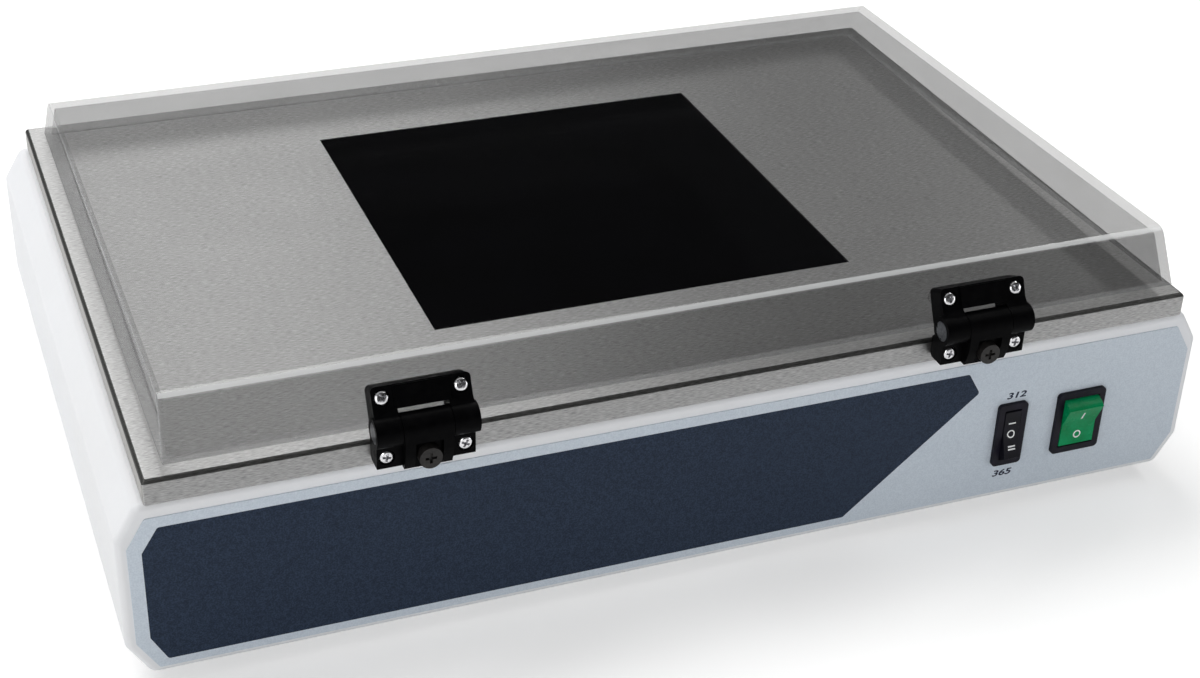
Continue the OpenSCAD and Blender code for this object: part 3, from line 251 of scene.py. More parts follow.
def rounded(points, radius, steps=6):
    """The outline with an arc at each corner."""
    made = []
    for i, p in enumerate(points):
        a, b, c = Vector(points[i - 1]), Vector(p), Vector(points[(i + 1) % len(points)])
        u, v = (a - b).normalized(), (c - b).normalized()
        half = u.angle(v) / 2
        cut = min(radius / math.tan(half), (a - b).length * 0.49, (c - b).length * 0.49)
        r = cut * math.tan(half)
        centre = b + (u + v).normalized() * r / math.sin(half)
        start, end = b + u * cut - centre, b + v * cut - centre
        turn = start.angle_signed(end)
        for k in range(steps + 1):
            q = turn * k / steps
            made.append((centre.x + start.x * math.cos(q) + start.y * math.sin(q),
                         centre.y - start.x * math.sin(q) + start.y * math.cos(q)))
    return made


def loft(rings, close=False):
    """Vertices and faces through rings of equal length, with both ends closed, or joined up."""
    n = len(rings[0])
    verts = [p for ring in rings for p in ring]
    faces = [(a * n + i, a * n + (i + 1) % n, b * n + (i + 1) % n, b * n + i)
             for a, b in zip(range(len(rings)), list(range(1, len(rings))) + [0]) if close or b
             for i in range(n)]
    if not close:
        faces += [tuple(range(n)), tuple(range(len(verts) - n, len(verts)))]
    return verts, faces


def settle(obj):
    """Applies the modifiers: what they make becomes the piece's plain mesh."""
    bpy.context.view_layer.update()
    made = bpy.data.meshes.new_from_object(obj.evaluated_get(bpy.context.evaluated_depsgraph_get()))
    obj.modifiers.clear()
    obj.data = made
    made.name = obj.name
    return obj


def carve(obj, *tools):
    """Cuts the tools out of the piece."""
    for tool in tools:
        cut = obj.modifiers.new("cut", "BOOLEAN")
        cut.operation, cut.solver, cut.object = "DIFFERENCE", "EXACT", tool
    settle(obj)
    for tool in tools:
        bpy.data.objects.remove(tool)
    return obj


def even_out(obj, smooth):
    """Smooth shading across bends below an angle, in which the flat faces stay truly flat."""
    obj.data.shade_smooth()
    obj.data.set_sharp_from_angle(angle=math.radians(smooth))
    weigh = obj.modifiers.new("even", "WEIGHTED_NORMAL")
    weigh.weight, weigh.keep_sharp = 100, True
    return settle(obj)


def soften(obj, width, steps=2, angle=35, smooth=50):
    """Rounds the edges sharper than angle."""
    edge = obj.modifiers.new("edge", "BEVEL")
    edge.width, edge.segments, edge.limit_method = width, steps, "ANGLE"
    edge.angle_limit = math.radians(angle)
    edge.use_clamp_overlap = True
    return even_out(settle(obj), smooth)


def block(name, low, high, *finishes):
    """A box between two corners, used as a blank that is then cut and rounded."""
    (x0, y0, z0), (x1, y1, z1) = low, high
    corners = [(x, y, z) for z in (z0, z1) for y in (y0, y1) for x in (x0, x1)]
    sides = [(0, 2, 3, 1), (4, 5, 7, 6), (0, 1, 5, 4), (2, 6, 7, 3), (0, 4, 6, 2), (1, 3, 7, 5)]
    return build(name, corners, sides, *finishes)


shell_low, shell_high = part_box("body_shell")
side_x, front_y, back_y = shell_high.x, shell_low.y, shell_high.y
bottom_z, top_z = shell_low.z, shell_high.z
top_slope, bottom_slope = (0.009, 0.015), (0.0095, 0.0155)
fold_round, rim_round, sheet = 0.0045, 0.003, 0.002
front_sheet, top_lip, past = 0.0025, 0.022, 0.01
bottom_lip, bottom_in = 0.015, bottom_slope[0] + 0.015
rear_lip, switch_rim = 0.016, 0.0014


def body_outline(d):
    right = [(side_x - bottom_slope[0], bottom_z), (side_x, bottom_z + bottom_slope[1]),
             (side_x, top_z - top_slope[1]), (side_x - top_slope[0], top_z)]
    return inset(right + [(-x, z) for x, z in reversed(right)], d)


powder = finish("white powder coat", linear(236, 238, 241), 0.42, Specular_IOR_Level=0.4)
cloud = grain(powder, (5, 5, 5), 3.0)
tone(powder, cloud, linear(231, 232, 234), linear(237, 239, 243))
gloss(powder, grain(powder, (220, 220, 220), 3.0, (3, 1, 0)), 0.36, 0.52)
relief(powder, grain(powder, (900, 900, 900), 2.0, (0, 7, 0)), 0.00012, 0.35)
relief(powder, grain(powder, (60, 60, 60), 1.0, (0, 0, 5)), 0.0002, 0.12)

rings = []
for k in range(6):
    q = math.radians(18 * k)
    d = rim_round * (1 - math.sin(q))
    rings.append([(x, front_y + rim_round * (1 - math.cos(q)), z)
                  for x, z in rounded(body_outline(d), fold_round - d * 0.5)])
rings += [[(x, y, z) for x, z in rounded(body_outline(d), fold_round)]
          for y, d in ((back_y - 0.0006, 0), (back_y, 0.0006))]
shell = build("cabinet_shell", *loft(rings), powder)
hollow = build("hollow", *loft([[(x, y, z) for x, z in rounded(body_outline(sheet), fold_round - sheet)]
                                for y in (front_y + front_sheet, back_y - sheet)]))
rear_hole = build("rear_hole", *loft([[(x, y, z) for x, z in body_outline(rear_lip)]
                                      for y in (back_y - past, back_y + past)]))
tray_low, tray_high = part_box("tray")
top_hole = block("top_hole", (tray_low.x + top_lip, tray_low.y + top_lip, top_z - past),
                 (tray_high.x - top_lip, tray_high.y - top_lip, top_z + past))
bottom_hole = block("bottom_hole", (-side_x + bottom_in, front_y + bottom_lip, bottom_z - past),
                    (side_x - bottom_in, back_y - bottom_lip, bottom_z + past))


def switch_cuts(end_y):
    """What both switches' housings take out of a front, from their bezels to a depth."""
    return [block("switch_cut", low + Vector((switch_rim, 0, switch_rim)),
                  Vector((high.x, end_y, high.z)) - Vector((switch_rim, 0, switch_rim)))
            for low, high in (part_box("power_housing"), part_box("selector_housing"))]


carve(shell, hollow, rear_hole, top_hole, bottom_hole, *switch_cuts(front_y + past))
even_out(shell, 24)
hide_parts("body_shell")
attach(shell, "cabinet")


# ---- Front film ----
# Polyester film, printed on its back and glued to the front: a pale blue-grey ground with one large
# dark field, plain numbers beside the lamp selector, and cut-outs for both switches.

film_low, film_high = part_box("front_film")
film_front = film_low.y
film_x, film_z0, film_z1 = film_high.x, film_low.z, film_high.z


def printed(name, light, dark, speck):
    """Film print: a fine grain of three scales under a matt clear face."""
    mat = finish(name, light, 0.42, Specular_IOR_Level=0.15)
    tone(mat, grain(mat, (1500, 1500, 1500), 1.0), dark, light, 0.35, 0.65)
    shade(mat, grain(mat, (420, 420, 420), 2.0, (2, 0, 0)), speck, 0.45, 0.62)
    shade(mat, grain(mat, (12, 12, 12), 2.0, (5, 0, 0)), (0.96, 0.97, 0.985))
    relief(mat, grain(mat, (1800, 1800, 1800), 1.0, (0, 4, 0)), 0.00003, 0.3)
    return mat


film_pale = printed("pale film print", linear(212, 221, 230), linear(201, 211, 221), (0.965, 0.965, 0.97))
film_dark = printed("dark film print", linear(42, 56, 76), linear(26, 38, 55), (0.78, 0.80, 0.84))
film_ink = printed("film ink", linear(36, 44, 66), linear(30, 37, 56), (0.9, 0.9, 0.92))


def plate(name, outline, y0, y1, *finishes, radius=0.0, steps=5):
    """A plate between two depths with the outline given in X and Z."""
    if radius:
        outline = rounded(outline, radius, steps)
    return build(name, *loft([[(x, y, z) for x, z in outline] for y in (y0, y1)]), *finishes)


film_right = [(film_x - 0.0085, film_z0), (film_x, film_z0 + 0.0138),
              (film_x, film_z1 - 0.0134), (film_x - 0.008, film_z1)]
film_outline = film_right + [(-x, z) for x, z in reversed(film_right)]
tray_top = tray_high.z
field_outline = [(-0.2335, tray_top - 0.088), (0.0714, tray_top - 0.088), (0.135, tray_top - 0.034),
                 (0.1285, tray_top - 0.023), (-0.233, tray_top - 0.0228), (-0.240, tray_top - 0.034),
                 (-0.240, tray_top - 0.076)]
field_round = 0.0015
film = plate("front_film_ground", film_outline, film_front, front_y, film_pale, radius=0.0012)
field_cut = plate("field_cut", field_outline, film_front - 0.001, front_y + 0.001, radius=field_round)
carve(film, field_cut, *switch_cuts(front_y + past))
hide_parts("front_film")
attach(film, "cabinet")
field = plate("front_film_field", field_outline, film_front, front_y, film_dark, radius=field_round)
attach(field, "cabinet")


def lettered(name, words, size, x, z, slant=0.18):
    """Printed figures, centred on a place of the film. Copies a hair apart make them bold."""
    curve = bpy.data.curves.new(name, "FONT")
    curve.body, curve.size, curve.shear = words, size, slant
    curve.align_x, curve.align_y, curve.extrude = "CENTER", "CENTER", 0.00002
    words_object = bpy.data.objects.new(name, curve)
    scene.collection.objects.link(words_object)
    bpy.context.view_layer.update()
    shown = words_object.evaluated_get(bpy.context.evaluated_depsgraph_get())
    mesh = bpy.data.meshes.new_from_object(shown)
    bpy.data.objects.remove(words_object)
    mesh.transform(Matrix.Translation((x, film_front - 0.00001, z)) @ Matrix.Rotation(math.pi / 2, 4, "X")
                   @ Matrix.Diagonal((1.3, 0.85, 1, 1)))
    bm = bmesh.new()
    shifts = ((-0.03, 0.012), (0.03, -0.012), (0.0, 0.022), (0.0, -0.022), (0.045, 0.01))
    for k, (right, up) in enumerate(shifts):
        shifted = mesh.copy()
        shifted.transform(Matrix.Translation((right * size, -0.000004 * k, up * size)))
        bm.from_mesh(shifted)
    bm.to_mesh(mesh)
    bm.free()
    made = bpy.data.objects.new(name, mesh)
    scene.collection.objects.link(made)
    return made


figure_size = 0.0052
for name, words, x, z in (("figure_312", "312", 0.1549, -0.0391), ("figure_365", "365", 0.1531, -0.0813)):
    figure = lettered(name, words, figure_size, x, tray_top + z)
    figure.data.materials.clear()
    figure.data.materials.append(film_ink)
    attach(figure, "cabinet")


# ---- Tray ----
# Stainless sheet, brushed along its width, folded down on all four sides and in again where it
# stands on the cabinet. Its corners are closed by a butt seam, and a square hole takes the filter.

def brushed(name, dark, light, along=(320, 3000, 3000), rough=(0.46, 0.58), aniso=0.8):
    """Metal brushed along X: long fine scratches of three lengths."""
    mat = finish(name, light, 0.32, 1.0, Anisotropic=aniso)
    tone(mat, grain(mat, along, 2.0), dark, light, 0.34, 0.66)
    shade(mat, grain(mat, tuple(a * 0.4 for a in along), 2.0, (9, 0, 0)), (0.94, 0.94, 0.94), 0.5, 0.72)
    shade(mat, grain(mat, (6, 30, 30), 2.0, (4, 0, 0)), (0.965, 0.965, 0.965))
    gloss(mat, grain(mat, along, 2.0, (0, 3, 0)), *rough)
    relief(mat, grain(mat, along, 3.0, (1, 0, 2)), 0.000012, 0.3)
    t = mat.node_tree
    lie = t.nodes.new("ShaderNodeTangent")
    lie.direction_type, lie.uv_map = "UV_MAP", "sheet"
    t.links.new(lie.outputs[0], t.nodes["Principled BSDF"].inputs["Tangent"])
    return mat


def lay_out(obj):
    """A UV map in metres whose U runs across the brushing, the way in which it scatters."""
    mesh = obj.data
    layer = mesh.uv_layers.new(name="sheet")
    for poly in mesh.polygons:
        n = poly.normal
        for loop in poly.loop_indices:
            p = mesh.vertices[mesh.loops[loop].vertex_index].co
            level_or_front = (p.y, p.x) if abs(n.z) > 0.7 else (p.z, p.x)
            layer.data[loop].uv = level_or_front if abs(n.z) > 0.7 or abs(n.y) > 0.5 else (p.y, p.z)


steel = brushed("brushed stainless", linear(156, 156, 156), linear(198, 198, 198))
# A darker copy of the brushed steel for the top fold: its dark band is a painted dark reflection.
steel_fold_painted_dark = brushed("brushed stainless, stretched by the fold", linear(66, 66, 65), linear(96, 96, 95))
# The side flanges get their own copy with the grain running down; its darker tone is painted shade.
steel_side_painted_darker = brushed("brushed stainless, folded down", linear(150, 149, 147), linear(178, 177, 175),
                     (3000, 3000, 320))
tray_sheet, bend = 0.0012, 0.0022
fold_in = 0.012


def square_ring(d, z, corner):
    pts = inset([(tray_low.x, tray_low.y), (tray_high.x, tray_low.y), (tray_high.x, tray_high.y),
                 (tray_low.x, tray_high.y)], d)
    return [(x, y, z) for x, y in rounded(pts, corner, 3)]


tray_z, tray_round, low_bend = tray_high.z - 0.012, 0.0008, bend * 0.6
rings = [square_ring(fold_in, tray_z, tray_round), square_ring(low_bend, tray_z, tray_round)]
for k in range(1, 4):
    q = math.radians(30 * k)
    rings.append(square_ring(low_bend * (1 - math.sin(q)), tray_z + low_bend * (1 - math.cos(q)), tray_round))
for k in range(0, 7):
    q = math.radians(15 * k)
    rings.append(square_ring(bend * (1 - math.cos(q)), tray_top - bend * (1 - math.sin(q)), tray_round))
rings += [square_ring(tray_sheet + bend, tray_top, tray_round),
          square_ring(tray_sheet + bend, tray_top - tray_sheet, tray_round),
          square_ring(tray_sheet, tray_top - bend - tray_sheet, tray_round),
          square_ring(tray_sheet, tray_z + tray_sheet, tray_round),
          square_ring(fold_in, tray_z + tray_sheet, tray_round)]
n = len(rings[0])
verts, faces = loft(rings, close=True)
top_ring, under_ring = len(rings) - 5, len(rings) - 4
faces = [f for i, f in enumerate(faces) if not top_ring * n <= i < (top_ring + 1) * n]
faces += [tuple(range(top_ring * n, top_ring * n + n)), tuple(range(under_ring * n, under_ring * n + n))]
tray = build("tray_sheet", verts, faces, steel, steel_side_painted_darker, steel_fold_painted_dark)
glass_low, glass_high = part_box("filter_glass")
gap = 0.0005
holes = [block("filter_hole", (glass_low.x - gap, glass_low.y - gap, tray_top - 0.005),
               (glass_high.x + gap, glass_high.y + gap, tray_top + 0.005))]
seam_in, seam_wide, seam_deep = 0.0011, 0.0003, 0.0006
for x, way_in in ((tray_low.x, 1), (tray_high.x, -1)):
    x0, x1 = sorted((x - way_in, x + way_in * seam_deep))
    for seam_y in (tray_low.y + seam_in, tray_high.y - seam_in):
        holes.append(block("seam", (x0, seam_y - seam_wide / 2, tray_z - 0.001),
                           (x1, seam_y + seam_wide / 2, tray_top - low_bend)))
carve(tray, *holes)
even_out(tray, 30)
level_steel, side_steel, fold_index_painted_dark = range(3)
for poly in tray.data.polygons:
    # Faces of the top fold take the darker copy, a painted dark reflection.
    folded = poly.center.z > tray_top - bend and 0.2 < poly.normal.z < 0.97
    # Side flanges take the darker copy, painted shade.
    unfolded = side_steel if abs(poly.normal.x) > 0.7 else level_steel
    poly.material_index = fold_index_painted_dark if folded else unfolded
lay_out(tray)
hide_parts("tray")
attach(tray, "cabinet")


# ---- Filter glass ----
# Black glass that passes ultraviolet only, polished, with ground edges, lying flush in the tray on a
# rubber seal and a black frame that hang from studs below.

black_glass = finish("black filter glass", linear(4, 4, 5), 0.12, Specular_IOR_Level=0.1)
tone(black_glass, grain(black_glass, (30, 30, 30), 2.0), linear(3, 3, 4), linear(5, 5, 7))
gloss(black_glass, grain(black_glass, (14, 14, 14), 3.0, (0, 2, 0)), 0.06, 0.1)
glass = block("filter_glass_plate", glass_low, glass_high, black_glass)
soften(glass, 0.0004)
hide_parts("filter_glass")
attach(glass, "cabinet")


# ---- Shield ----
# One clear sheet, lightly smoked, bent down at the front and back, with a side wall bonded on at each
# end. The walls are tinted darker than the top as painted shade; the front bend has a painted highlight. It
# tips up on the hinges.

def clear_sheet(name, tint, gloss_rough, haze=0.0, mirror=1.0, most=0.35):
    """Thin clear plastic: what lies behind shows through its tint, and its faces mirror by the angle."""
    mat = bpy.data.materials.new(name)
    mat.use_nodes = True
    t = mat.node_tree
    body = t.nodes["Principled BSDF"]
    body.inputs["Base Color"].default_value = (*linear(214, 216, 217), 1)
    body.inputs["Roughness"].default_value = gloss_rough
    body.inputs["Metallic"].default_value = mirror
    through = t.nodes.new("ShaderNodeBsdfTransparent")
    mix = t.nodes.new("ShaderNodeMixShader")
    ramp = t.nodes.new("ShaderNodeValToRGB")
    dark, light = ramp.color_ramp.elements
    dark.position, light.position = 0.3, 0.7
    dark.color, light.color = (*[c * 0.985 for c in tint], 1), (*tint, 1)
    t.links.new(grain(mat, (25, 25, 25), 2.0), ramp.inputs["Fac"])
    t.links.new(ramp.outputs["Color"], through.inputs["Color"])
    rim = t.nodes.new("ShaderNodeLayerWeight")
    rim.inputs["Blend"].default_value = 0.5
    steep = t.nodes.new("ShaderNodeMath")
    steep.operation = "POWER"
    steep.inputs[1].default_value = 5.0
    t.links.new(rim.outputs["Facing"], steep.inputs[0])
    least = 0.04 + haze
    t.links.new(span(mat, steep.outputs[0], least, max(most, least), 0.0, 1.0), mix.inputs["Fac"])
    t.links.new(through.outputs[0], mix.inputs[1])
    t.links.new(body.outputs[0], mix.inputs[2])
    t.links.new(mix.outputs[0], t.nodes["Material Output"].inputs["Surface"])
    return mat


acrylic = clear_sheet("smoked clear sheet", (0.945, 0.945, 0.945), 0.04)
# The walls get a darker tint than the top: painted shade.
wall_sheet_painted_darker = clear_sheet("smoked clear sheet, folded down", (0.71, 0.71, 0.71), 0.04)
# A light diffuse band on the front bend's faces: a painted highlight, not a whitening of the sheet.
bend_highlight_sheet = clear_sheet("clear sheet, whitened by the bend", (0.92, 0.92, 0.92), 0.2, 0.55, 0.0)
cut_edge = clear_sheet("polished cut edge", (0.84, 0.84, 0.84), 0.25, 0.16, 0.0)
clear_nylon = clear_sheet("clear nylon", (0.93, 0.93, 0.925), 0.2, 0.02)
cover_w, cover_d, cover_h, cover_t = 0.458, 0.325, 0.0245, 0.003
front_lean, back_lean, draft = math.radians(24), math.radians(37), 0.0019 / 0.0245
foot_lift, back_gap = 0.006, 0.0003
tilt = math.asin((foot_lift - back_gap) / cover_d)
cover_foot = Vector((0, -0.163339, tray_top + foot_lift))
outer_bend, inner_bend = 0.0058, 0.0028


def shield_profile(d, bend_round, steps=8):
    """Outline in Y and Z from the front foot over the top to the back foot, moved inwards by d."""
    top = cover_h - d
    front_foot, back_foot = d / math.cos(front_lean), cover_d - d / math.cos(back_lean)
    corners = [(front_foot, 0), (front_foot + top * math.tan(front_lean), top),
               (back_foot - top * math.tan(back_lean), top), (back_foot, 0)]
    line = [corners[0]]
    for a, b, c in (corners[0:3], corners[1:4]):
        a, b, c = Vector(a), Vector(b), Vector(c)
        u, v = (a - b).normalized(), (c - b).normalized()
        half = u.angle(v) / 2
        cut = bend_round / math.tan(half)
        centre = b + (u + v).normalized() * bend_round / math.sin(half)
        s, e = b + u * cut - centre, b + v * cut - centre
        turn = s.angle(e)
        for k in range(steps + 1):
            q = -turn * k / steps
            line.append((centre.x + s.x * math.cos(q) - s.y * math.sin(q),
                         centre.y + s.x * math.sin(q) + s.y * math.cos(q)))
    return line + [corners[3]]


verts, faces = [], []
turned = Matrix.Translation(cover_foot) @ Matrix.Rotation(-tilt, 4, "X")
lines = [shield_profile(0, outer_bend), shield_profile(cover_t, inner_bend)]
n = len(lines[0])
for line, d in zip(lines, (0, cover_t)):
    for sx in (-1, 1):
        verts += [turned @ Vector((sx * (cover_w / 2 - d - z * draft), y, z)) for y, z in line]
for start in (0, 2 * n):
    faces += [(start + i, start + i + 1, start + n + i + 1, start + n + i) for i in range(n - 1)]
    faces += [tuple(start + i for i in range(n)), tuple(start + n + i for i in range(n))]
foot = [0, n, 2 * n - 1, n - 1]
faces += [(foot[i], foot[(i + 1) % 4], foot[(i + 1) % 4] + 2 * n, foot[i] + 2 * n) for i in range(4)]
shield = build("clear_shield", verts, faces, acrylic, cut_edge, bend_highlight_sheet, wall_sheet_painted_darker)
bm = bmesh.new()
bm.from_mesh(shield.data)
bmesh.ops.recalc_face_normals(bm, faces=bm.faces)
if sum(f.calc_center_median().dot(f.normal) * f.calc_area() for f in bm.faces) < 0:
    bmesh.ops.reverse_faces(bm, faces=bm.faces)
bm.to_mesh(shield.data)
bm.free()
soften(shield, 0.0005, 2, 50)
edge_slot, bend_slot, wall_slot = 1, 2, 3
upright_again = turned.inverted()
for poly in shield.data.polygons:
    at, n = upright_again @ poly.center, upright_again.to_3x3() @ poly.normal
    if at.z < 0.0006 and n.z < -0.2 or abs(n.x) > 0.25 and n.z > 0.2:
        poly.material_index = edge_slot
    # Faces of the front top bend take the painted highlight.
    elif at.y < 0.03 and -0.7 < n.y < -0.22 and n.z > 0.44:
        poly.material_index = bend_slot
    # The walls' faces take the darker tint, painted shade.
    elif abs(n.z) < 0.8:
        poly.material_index = wall_slot
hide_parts("cover")
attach(shield, "shield")


# ---- Hinges ----
# Two friction hinges, die-cast zinc with a satin black coat. The lower half is screwed to the tray's
# edge, the upper half to the shield; a steel shaft joins them, and a screw sets their grip.

def refined(name, node, body, mat, width):
    """A node's shape with its edges rounded, standing in for the node."""
    mesh = nodes[node].data.copy()
    obj = bpy.data.objects.new(name, mesh)
    scene.collection.objects.link(obj)
    mesh.materials.clear()
    mesh.materials.append(mat)
    bm = bmesh.new()
    bm.from_mesh(mesh)
    bmesh.ops.remove_doubles(bm, verts=bm.verts, dist=2e-6)
    bmesh.ops.dissolve_limit(bm, angle_limit=math.radians(0.6), verts=bm.verts, edges=bm.edges)
    bm.to_mesh(mesh)
    bm.free()
    for poly in mesh.polygons:
        poly.material_index = 0
    soften(obj, width, smooth=35)
    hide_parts(node)
    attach(obj, body)
    return obj


cast_black = finish("black cast zinc", linear(4, 4, 5), 0.38, Specular_IOR_Level=0.025)
tone(cast_black, grain(cast_black, (260, 260, 260), 2.0), linear(3, 3, 4), linear(7, 7, 8))
gloss(cast_black, grain(cast_black, (500, 500, 500), 2.0, (3, 0, 0)), 0.30, 0.46)
relief(cast_black, grain(cast_black, (1400, 1400, 1400), 2.0, (0, 5, 0)), 0.00005, 0.4)
pin_steel = finish("dark shaft steel", linear(96, 99, 104), 0.3, 1.0)
tone(pin_steel, grain(pin_steel, (60, 900, 900), 2.0), linear(84, 87, 92), linear(112, 115, 120))
gloss(pin_steel, grain(pin_steel, (300, 300, 300), 2.0, (1, 0, 0)), 0.24, 0.4)
screw_black = finish("black oxide", linear(30, 29, 29), 0.42, 0.0, Specular_IOR_Level=0.25)
tone(screw_black, grain(screw_black, (700, 700, 700), 2.0), linear(22, 21, 21), linear(40, 38, 37))
relief(screw_black, grain(screw_black, (1600, 1600, 1600), 1.0, (2, 0, 0)), 0.00004, 0.4)
for side in ("left", "right"):
    refined(f"hinge_bracket_{side}_cast", f"hinge_bracket_{side}", "cabinet", cast_black, 0.0004)
    refined(f"hinge_leaf_{side}_cast", f"hinge_leaf_{side}", "shield", cast_black, 0.0004)
    refined(f"hinge_shaft_{side}", f"hinge_pin_{side}", "shield", pin_steel, 0.0004)
    refined(f"grip_screw_{side}", f"torque_screw_{side}", f"torque_screw_{side}_body", screw_black, 0.0003)


# ---- Switches ----
# Snap-in rocker switches in black moulded housings: a translucent green rocker for the power and a
# narrow black one for the lamps, both with the usual white signs for on and off.

moulded = finish("black moulding", linear(19, 17, 28), 0.42, Specular_IOR_Level=0.12)
tone(moulded, grain(moulded, (300, 300, 300), 2.0), linear(15, 14, 22), linear(24, 22, 34))
gloss(moulded, grain(moulded, (800, 800, 800), 2.0, (0, 2, 0)), 0.36, 0.5)
relief(moulded, grain(moulded, (2600, 2600, 2600), 1.0, (4, 0, 0)), 0.00002, 0.3)
jet = finish("black rocker moulding", linear(17, 17, 24), 0.34, Specular_IOR_Level=0.12)
tone(jet, grain(jet, (300, 300, 300), 2.0), linear(13, 13, 19), linear(21, 21, 29))
gloss(jet, grain(jet, (700, 700, 700), 2.0, (0, 1, 0)), 0.28, 0.42)
green = finish("green translucent moulding", linear(0, 140, 84), 0.22, Specular_IOR_Level=0.1)
tone(green, grain(green, (120, 120, 120), 3.0), linear(0, 128, 74), linear(2, 148, 92))
shade(green, grain(green, (1100, 1100, 1100), 1.0, (0, 0, 6)), (0.86, 0.92, 0.9), 0.45, 0.6)
gloss(green, grain(green, (260, 260, 260), 2.0, (7, 0, 0)), 0.18, 0.3)
relief(green, grain(green, (700, 700, 700), 2.0, (0, 0, 2)), 0.00004, 0.25)
sign_white = finish("white sign print", linear(238, 240, 240), 0.5)
tone(sign_white, grain(sign_white, (900, 900, 900), 2.0), linear(226, 229, 230), linear(245, 246, 246))
refined("power_switch_housing", "power_housing", "cabinet", moulded, 0.0003)
refined("selector_switch_housing", "selector_housing", "cabinet", moulded, 0.0003)
refined("power_rocker_moulding", "power_rocker", "power_rocker_body", green, 0.0003)
refined("selector_rocker_moulding", "selector_rocker", "selector_rocker_body", jet, 0.0003)

pivot_y, pivot_z, ink = -0.161, 0.043, 0.00003
valley_out = 0.0038


def on_rocker(middle_x, half_travel, side):
    """Carries a point of a rocker's slopes, across and up from its middle, to where it lies at rest."""
    valley = valley_out / math.cos(half_travel)

    def lay(across, up, proud):
        y, z = -valley - abs(up) * math.tan(half_travel) - proud, up
        r = side * half_travel
        return (middle_x + across, pivot_y + y * math.cos(r) - z * math.sin(r),
                pivot_z + y * math.sin(r) + z * math.cos(r))
    return lay


def sign(name, body, slot, lay, *shapes):
    """Signs printed on a rocker: each is an outline, or an outline and the hole in it."""
    verts, faces = [], []
    for outer, hole in shapes:
        loops = [(outer, ink), (outer, -ink)] + ([(hole, -ink), (hole, ink)] if hole else [])
        v, f = loft([[lay(a, b, proud) for a, b in loop] for loop, proud in loops], close=bool(hole))
        faces += [tuple(i + len(verts) for i in face) for face in f]
        verts += v
    made = build(name, verts, faces, sign_white)
    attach(made, body)


def bar(across, up, wide, tall):
    return [(across - wide / 2, up - tall / 2), (across + wide / 2, up - tall / 2),
            (across + wide / 2, up + tall / 2), (across - wide / 2, up + tall / 2)], None


def ring(up, radius, line, steps=32):
    turn = [(math.cos(q), math.sin(q)) for q in (2 * math.pi * k / steps for k in range(steps))]
    return [[(r * a, up + r * b) for a, b in turn] for r in (radius, radius - line)]


low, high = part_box("power_rocker")
lay = on_rocker((low.x + high.x) / 2, math.radians(12), 1)
sign("power_signs", "power_rocker_body", "green_plastic", lay, bar(0.0002, 0.0056, 0.0008, 0.0046),
     ring(-0.0060, 0.0020, 0.00065))
low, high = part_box("selector_rocker")
lay = on_rocker((low.x + high.x) / 2, math.radians(10), -1)
sign("selector_signs", "selector_rocker_body", "black_plastic", lay, bar(0, 0.0056, 0.0037, 0.0007),
     ring(0, 0.0020, 0.0006), bar(0, -0.0059, 0.0037, 0.0007), bar(0, -0.0073, 0.0037, 0.0007))


# ---- Rear panel, base plate and feet ----
# The rear panel is coated like the shell and slotted for air; the base plate is zinc-plated sheet.
# Four turned rubber feet carry the cabinet.

zinc = finish("zinc-plated sheet", linear(176, 178, 180), 0.4, 1.0)
tone(zinc, grain(zinc, (90, 90, 90), 3.0), linear(160, 163, 166), linear(190, 191, 192))
gloss(zinc, grain(zinc, (160, 160, 160), 3.0, (2, 0, 0)), 0.3, 0.5)
rubber = finish("black rubber", linear(34, 34, 34), 0.8, Specular_IOR_Level=0.3)
tone(rubber, grain(rubber, (500, 500, 500), 2.0), linear(28, 28, 28), linear(42, 42, 41))
relief(rubber, grain(rubber, (1200, 1200, 1200), 2.0, (2, 0, 0)), 0.0001, 0.4)
refined("rear_panel_sheet", "rear_panel", "cabinet", powder, 0.0003)
refined("base_plate_sheet", "base_plate", "cabinet", zinc, 0.0003)
refined("rubber_feet", "feet", "cabinet", rubber, 0.0006)


# ---- Power inlet ----
# Flanged inlet for a mains plug, moulded in black, with three tinned blades and a drawer that holds
# two glass fuses.

tinned = finish("tinned contacts", linear(196, 196, 192), 0.3, 1.0)
tone(tinned, grain(tinned, (600, 600, 600), 2.0), linear(180, 180, 176), linear(206, 206, 202))
refined("inlet_moulding", "inlet_body", "cabinet", moulded, 0.0003)
refined("fuse_drawer_moulding", "fuse_drawer", "fuse_drawer_body", moulded, 0.0003)


# ---- Screws and nuts ----
# Bright plated pan-head screws with a cross recess, each driven home at its own angle. One screw is
# turned per kind and set at every place of that kind. Clear nylon nuts hold the shield's screws.

plated = finish("bright plated steel", linear(214, 214, 216), 0.2, 1.0)
tone(plated, grain(plated, (700, 700, 700), 2.0), linear(200, 200, 203), linear(226, 226, 228))
gloss(plated, grain(plated, (900, 900, 900), 2.0, (1, 0, 0)), 0.14, 0.3)


def lone_parts(node):
    """The separate solids of a node, each as its points."""
    bm = bmesh.new()
    bm.from_mesh(nodes[node].data)
    bmesh.ops.remove_doubles(bm, verts=bm.verts, dist=2e-6)
    seen, parts = set(), []
    for start in bm.verts:
        if start in seen:
            continue
        seen.add(start)
        reached, part = [start], []
        while reached:
            v = reached.pop()
            part.append(v.co.copy())
            near = [e.other_vert(v) for e in v.link_edges]
            reached += [o for o in near if o not in seen]
            seen.update(near)
        parts.append(part)
    bm.free()
    return parts


